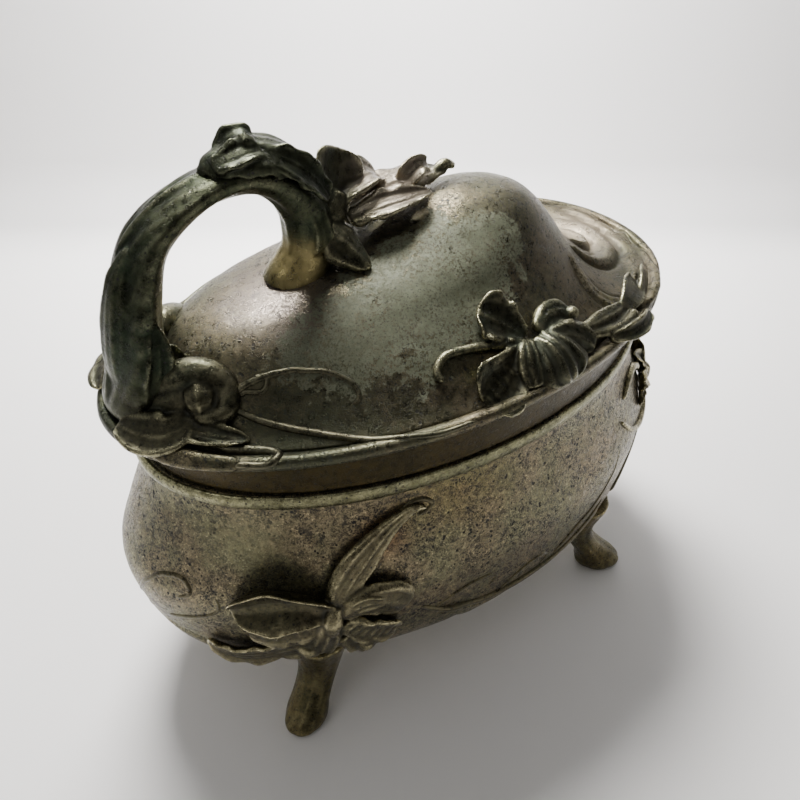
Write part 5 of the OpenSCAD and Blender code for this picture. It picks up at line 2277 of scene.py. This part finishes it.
@dataclass(frozen=True)
class Lining:
    """Padded silk inside the box and the lid, with cord trims.

    Attributes:
        swell: how far the floor pad may swell in the simulation, in millimetres.
    """

    swell: float = 1.1

    def floor_pad(self) -> bpy.types.Object:
        """Makes the stuffed pad on the floor, swollen by a cloth simulation.

        Returns:
            The object.
        """
        base = SIZE.under + 2.9
        rows = [(-69, base), (-24, base), (-15, base + 0.5), (-8.4, base + 1.5), (-5.2, base + 2.7),
                (-4.6, base + 3.5), (-6.6, base + 4.4),
                (-14, base + 4.9), (-34, base + 5.1), (-69, base + 5.1)]
        s = catmull(np.array([
            (max(SIZE.neck_a + o, 0), max(SIZE.neck_b + SIZE.share * o, 0) if o > -69 else 0, z) for o, z in rows
        ]), 46)
        pad = grid_object("floor_pad_silk", oval(s[:, 0], s[:, 1], s[:, 2], count=160), wrap_u=True)
        self._swell(pad)
        soft = pad.modifiers.new("soft", "SUBSURF")
        soft.levels = soft.render_levels = 1
        pad.data = evaluated(pad)
        pad.modifiers.clear()
        self._top_map(pad)
        pad.data.shade_smooth()
        return pad

    def _swell(self, pad: bpy.types.Object) -> None:
        """Puffs the pad up with Cloth pressure, within its allowance.

        Args:
            pad: the pad.
        """
        mesh = pad.modifiers.new("mesh", "REMESH")
        mesh.mode, mesh.voxel_size = "VOXEL", 2.2 * MM
        pad.data = evaluated(pad)
        pad.modifiers.clear()
        rest, _ = mesh_arrays(pad.data)
        cloth = pad.modifiers.new("cloth", "CLOTH")
        cloth.settings.use_pressure = True
        cloth.settings.uniform_pressure_force = 4
        cloth.settings.effector_weights.gravity = 0
        scene = bpy.context.scene
        for step in range(1, 21):
            scene.frame_set(step)
        swollen = evaluated(pad)
        co, _ = mesh_arrays(swollen)
        move = co - rest
        far = np.linalg.norm(move, axis=1, keepdims=True)
        move *= np.minimum(1, self.swell * MM / np.maximum(far, 1e-9))
        co = rest + move
        co[:, 2] = np.maximum(co[:, 2], rest[:, 2].min())
        swollen.vertices.foreach_set("co", co.ravel())
        pad.data = swollen
        pad.modifiers.clear()
        scene.frame_set(1)

    def _top_map(self, obj: bpy.types.Object) -> None:
        """Gives a flat piece a UV map seen from above, one unit per 138 mm.

        Args:
            obj: the piece.
        """
        mesh = obj.data
        co, _ = mesh_arrays(mesh)
        index = np.empty(len(mesh.loops), np.int64)
        mesh.loops.foreach_get("vertex_index", index)
        layer = mesh.uv_layers.new(name="UVMap") if not mesh.uv_layers else mesh.uv_layers[0]
        layer.data.foreach_set("uv", (co[index, :2] / 0.138 + 0.5).astype(np.float32).ravel())

    def wall(self) -> bpy.types.Object:
        """Makes the gathered silk that lines the wall, turned over a thin wadding.

        Returns:
            The object.
        """
        wall = SIZE.wall
        rows = [(25.2, 0.6), (27.2, 4.2), (29.0, 6.0), (31.4, 7.2), (38.3, 9.9), (46, 11), (51.5, 10.45), (58, 7.7),
                (63.5, 5.06), (68, 2.9), (72, 1.1), (76, 0.05), (78.1, 0.0)]
        s = catmull(np.array([(o - wall - 0.35, z) for z, o in rows]), 44)
        t = circle(900)
        share = np.linspace(0, 1, len(s))[:, None]
        fold = np.abs(np.sin(t * 62 + 1.2 * np.sin(t * 9))) * 0.34 + 0.1 * np.sin(t * 143 + 2)
        fold = fold[None] * (0.4 + 0.6 * np.sin(math.pi * share) ** 0.5)
        face_out = -0.55 - fold
        loops = []
        for shift, order in ((np.zeros_like(fold), 1), (face_out, -1)):
            o = (s[:, :1] + shift)[::order]
            z = np.repeat(s[::order, 1:2], len(t), 1)
            loops.append(np.stack([(SIZE.neck_a + o) * np.cos(t), (SIZE.neck_b + SIZE.share * o) * np.sin(t), z], 2))
        return grid_object("wall_lining_silk", np.concatenate(loops), wrap_u=True, wrap_v=True)

    def lid(self) -> bpy.types.Object:
        """Makes the domed silk inside the lid, gathered to the middle under the crest.

        Returns:
            The object.
        """
        under, wall = SIZE.flange_under, SIZE.wall
        rows = [row for row in DOME if row[3] > 0.1]
        centre, top = SIZE.crest_x, SIZE.crest
        back, face, around = 44, 50, 640

        def ring(out: float, z: float) -> tuple:
            """A station on the collar's oval.

            Args:
                out: distance past the neck.
                z: height.

            Returns:
                A station for lid_rings.
            """
            return (-SIZE.neck_a - out, SIZE.neck_a + out, SIZE.neck_b + SIZE.share * out, z, 0, 0)

        outer = [(centre, centre, 0, top - wall - 0.4, 0, 0)]
        outer += [dome_station(row, wall + 0.4, wall + 0.5) for row in rows[::-1][1:]]
        outer += [(-64.4, 62, 36.4, under + 0.8, 0, 0), ring(-wall - 1.0, under - 1.2),
                  ring(-wall - 1.0, SIZE.collar_base + 4.2)]
        inner = [ring(-wall - 1.5, SIZE.collar_base + 4.2), ring(-wall - 1.7, under - 2),
                 ring(-wall - 4.6, under + 0.4)]
        inner += [dome_station(row, wall + 1.1, wall + 1.2) for row in rows[:-1]]
        inner += [(centre, centre, 0, top - wall - 1.3, 0, 0)]
        a = catmull(np.array(outer), back, STATION_WEIGHTS)
        b = catmull(np.array(inner), face, STATION_WEIGHTS)
        points = lid_rings(np.concatenate([a, b]), around)
        t = circle(around)
        share = np.linspace(0, 1, face)
        fold = (0.24 * np.abs(np.sin(t * 36 + 0.8 * np.sin(7 * t))) + 0.06 * np.sin(t * 97))[None]
        fold = fold * (np.sin(math.pi * share) ** 0.7)[:, None]
        n = grid_normals(points[back:], wrap_u=True)
        if (n[10:30, :, :2] * (points[back + 10:back + 30, :, :2] - (centre, 0))).sum() > 0:
            n = -n
        points[back:] += n * fold[..., None]
        return grid_object("lid_lining_silk", points, wrap_u=True)


# --------------------------------------------------------------------------- stage, light and camera


@dataclass(frozen=True)
class Studio:
    """Pale floor, backdrop, soft lamps and the camera.

    Attributes:
        place: the camera's place in millimetres.
        yaw: turn of the view from +Y towards +X, in radians.
        pitch: how far it looks down.
        roll: its lean.
        lens: focal length on a 36 mm sensor.
    """

    place: tuple = (-86.6346, -140.936, 206.5571)
    yaw: float = 0.5437
    pitch: float = 0.7072
    roll: float = -0.0011
    lens: float = 36.0

    def build(self) -> None:
        """Sets up everything round the object."""
        self._backdrop()
        self._lamps()
        self._camera()

    def _backdrop(self) -> None:
        """A floor that meets its wall in a tight cove, square to the view."""
        turn = Matrix.Rotation(-self.yaw, 3, "Z")
        profile = [(-1.6, 0.0), (0.1, 0.0), (0.205, 0.0), (0.214, 0.002), (0.219, 0.009), (0.22, 0.03), (0.22, 0.17)]
        s = catmull(np.array(profile), 60)
        x = np.linspace(-2.2, 2.2, 12)
        depths, heights = np.repeat(s[:, :1], len(x), 1), np.repeat(s[:, 1:], len(x), 1)
        points = np.stack([np.repeat(x[None], len(s), 0), depths, heights], 2) / MM
        sweep = grid_object("pale_sweep", points, wrap_u=False)
        sweep.data.transform(turn.to_4x4())
        sweep.data.materials.append(StageFinish().material())

    def _lamps(self) -> None:
        """One large soft lamp above and behind, a broad fill and a pale surround."""
        world = bpy.data.worlds.new("studio")
        world.use_nodes = True
        g = Graph(world.node_tree)
        facing = g.add("VectorMath", operation="DOT_PRODUCT")
        g.feed(facing.inputs[0], g.add("TexCoord").outputs["Generated"])
        facing.inputs[1].default_value = (0.05, 0.55, 0.83)
        back = world.node_tree.nodes["Background"]
        dark, pale = (0.10, 0.095, 0.085, 1), (0.97, 0.965, 0.94, 1)
        g.feed(back.inputs["Color"], g.mix(g.span(facing.outputs["Value"], -0.1, 0.8), dark, pale))
        back.inputs["Strength"].default_value = 0.47
        bpy.context.scene.world = world
        for name, place, aim, size, power, colour in (
            ("window", (0.04, 0.2, 0.44), (0, 0.0, 0.05), 0.2, 6.0, (1.0, 0.985, 0.955)),
            ("fill", (-0.8, -0.25, 0.6), (0, 0, 0.06), 0.4, 0.7, (1.0, 0.98, 0.96)),
            ("wash", (0.0, 0.0, 0.45), (0.16, 0.26, 0.08), 0.16, 1.3, (1.0, 1.0, 1.0)),
        ):
            lamp = bpy.data.lights.new(name, "AREA")
            lamp.shape, lamp.size, lamp.energy, lamp.color = "DISK", size, power, colour
            lamp.spread = math.radians(70 if name == "wash" else 180)
            obj = linked(name, lamp)
            obj.location = place
            obj.rotation_euler = (Vector(aim) - Vector(place)).to_track_quat("-Z", "Y").to_euler()

    def _camera(self) -> None:
        """Places the camera."""
        cy, sy, cp, sp = math.cos(self.yaw), math.sin(self.yaw), math.cos(self.pitch), math.sin(self.pitch)
        forward = Vector((sy * cp, cy * cp, -sp))
        right = Vector((cy, -sy, 0))
        up = right.cross(forward)
        cr, sr = math.cos(self.roll), math.sin(self.roll)
        r2, u2 = right * cr + up * sr, up * cr - right * sr
        data = bpy.data.cameras.new("camera")
        data.lens, data.sensor_width, data.clip_start = self.lens, 36.0, 0.005
        cam = linked("camera", data)
        turn = Matrix((r2, u2, -forward)).transposed().to_4x4()
        cam.matrix_world = Matrix.Translation(Vector(self.place) * MM) @ turn
        bpy.context.scene.camera = cam


# --------------------------------------------------------------------------- the whole


def dress_hinge() -> None:
    """Gives the hinge's CAD solids, whose shape is right, an aged steel finish."""
    for node in ("hinge_leaf_body", "hinge_leaf_lid", "hinge_pin", "body_rivets", "lid_rivets"):
        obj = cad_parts[node]
        obj.data.materials.clear()
        obj.data.materials.append(HINGE_FINISH.material())
        LOG.info("%s keeps its CAD shape", node)


def build_box() -> None:
    """Builds and dresses everything that stays with the box."""
    shell = BoxBody()
    skin = shell.build()
    tendrils = cords("body_tendrils", skin, shell.relief(), (0.9955, 0.993, 1.0))
    finish_piece(tendrils, Body.BOX, Slot.ORNAMENT, IRIS_FINISH, [], measure_relief=False)
    finish_piece(skin, Body.BOX, Slot.CAST_BODY, BODY_FINISH, ["body_shell"])
    finish_piece(shell.bead(), Body.BOX, Slot.RIM, BEAD_FINISH, ["rim_bead"])
    for foot in FEET:
        finish_piece(foot.build(), Body.BOX, Slot.CAST_BODY, FOOT_FINISH, [foot.node])
    for iris in (
        CornerIris("front_iris_cast", "iris_front_left"), CornerIris("back_iris_cast", "iris_back_right", True),
    ):
        finish_piece(iris.build(), Body.BOX, Slot.ORNAMENT, IRIS_FINISH, [iris.node])
    finish_piece(EndBloom().build(), Body.BOX, Slot.ORNAMENT, IRIS_FINISH, ["bloom_right"])


def build_lid() -> None:
    """Builds and dresses everything that turns with the lid."""
    lid = Lid()
    skin = lid.build()
    tendrils = cords("lid_tendrils", skin, lid.relief(), (0.9985, 0.998, 0.9982))
    finish_piece(tendrils, Body.LID, Slot.ORNAMENT, TENDRIL_FINISH, [], measure_relief=False)
    finish_piece(skin, Body.LID, Slot.CAST_LID, LID_FINISH, ["lid_shell"])
    finish_piece(lid.collar(), Body.LID, Slot.RIM, SHADED_COLLAR_LOOK, ["lid_collar"])
    finish_piece(Handle().build(), Body.LID, Slot.CAST_LID, HANDLE_FINISH, ["handle"])
    for bloom in (HANDLE_LEAVES, DOME_IRIS, LID_IRIS, LID_BUD, VOLUTE):
        look = LEAF_FINISH if bloom is HANDLE_LEAVES else BLOOM_FINISH
        finish_piece(bloom.build(), Body.LID, Slot.ORNAMENT, look, [bloom.node])


def build_linings() -> None:
    """Builds the silk linings and their cords."""
    lining = Lining()
    for obj, body, node, fill in (
        (lining.floor_pad(), Body.BOX, "floor_pad", 0.7),
        (lining.wall(), Body.BOX, "wall_lining", 0.3),
        (lining.lid(), Body.LID, "lid_lining", 0.3),
    ):
        finish_piece(obj, body, Slot.SILK, SILK_FINISH, [node], measure_relief=False)
    wall = SIZE.wall
    mouth = cord_loop("mouth_cord", -wall - 2.1, SIZE.rim - 3.0, 1.0)
    finish_piece(mouth, Body.BOX, Slot.BRAID, BRAID_FINISH, ["mouth_braid"], measure_relief=False)
    edge = cord_loop("lid_cord", -wall - 1.8, SIZE.collar_base + 2.8, 1.0)
    finish_piece(edge, Body.LID, Slot.BRAID, BRAID_FINISH, ["lid_braid"], measure_relief=False)


def main() -> None:
    """Builds the casket in order, inside its frame."""
    logging.basicConfig(level=logging.INFO, format="%(name)s: %(message)s")
    Studio().build()
    build_box()
    build_lid()
    build_linings()
    dress_hinge()


if __name__ == "__main__":
    main()
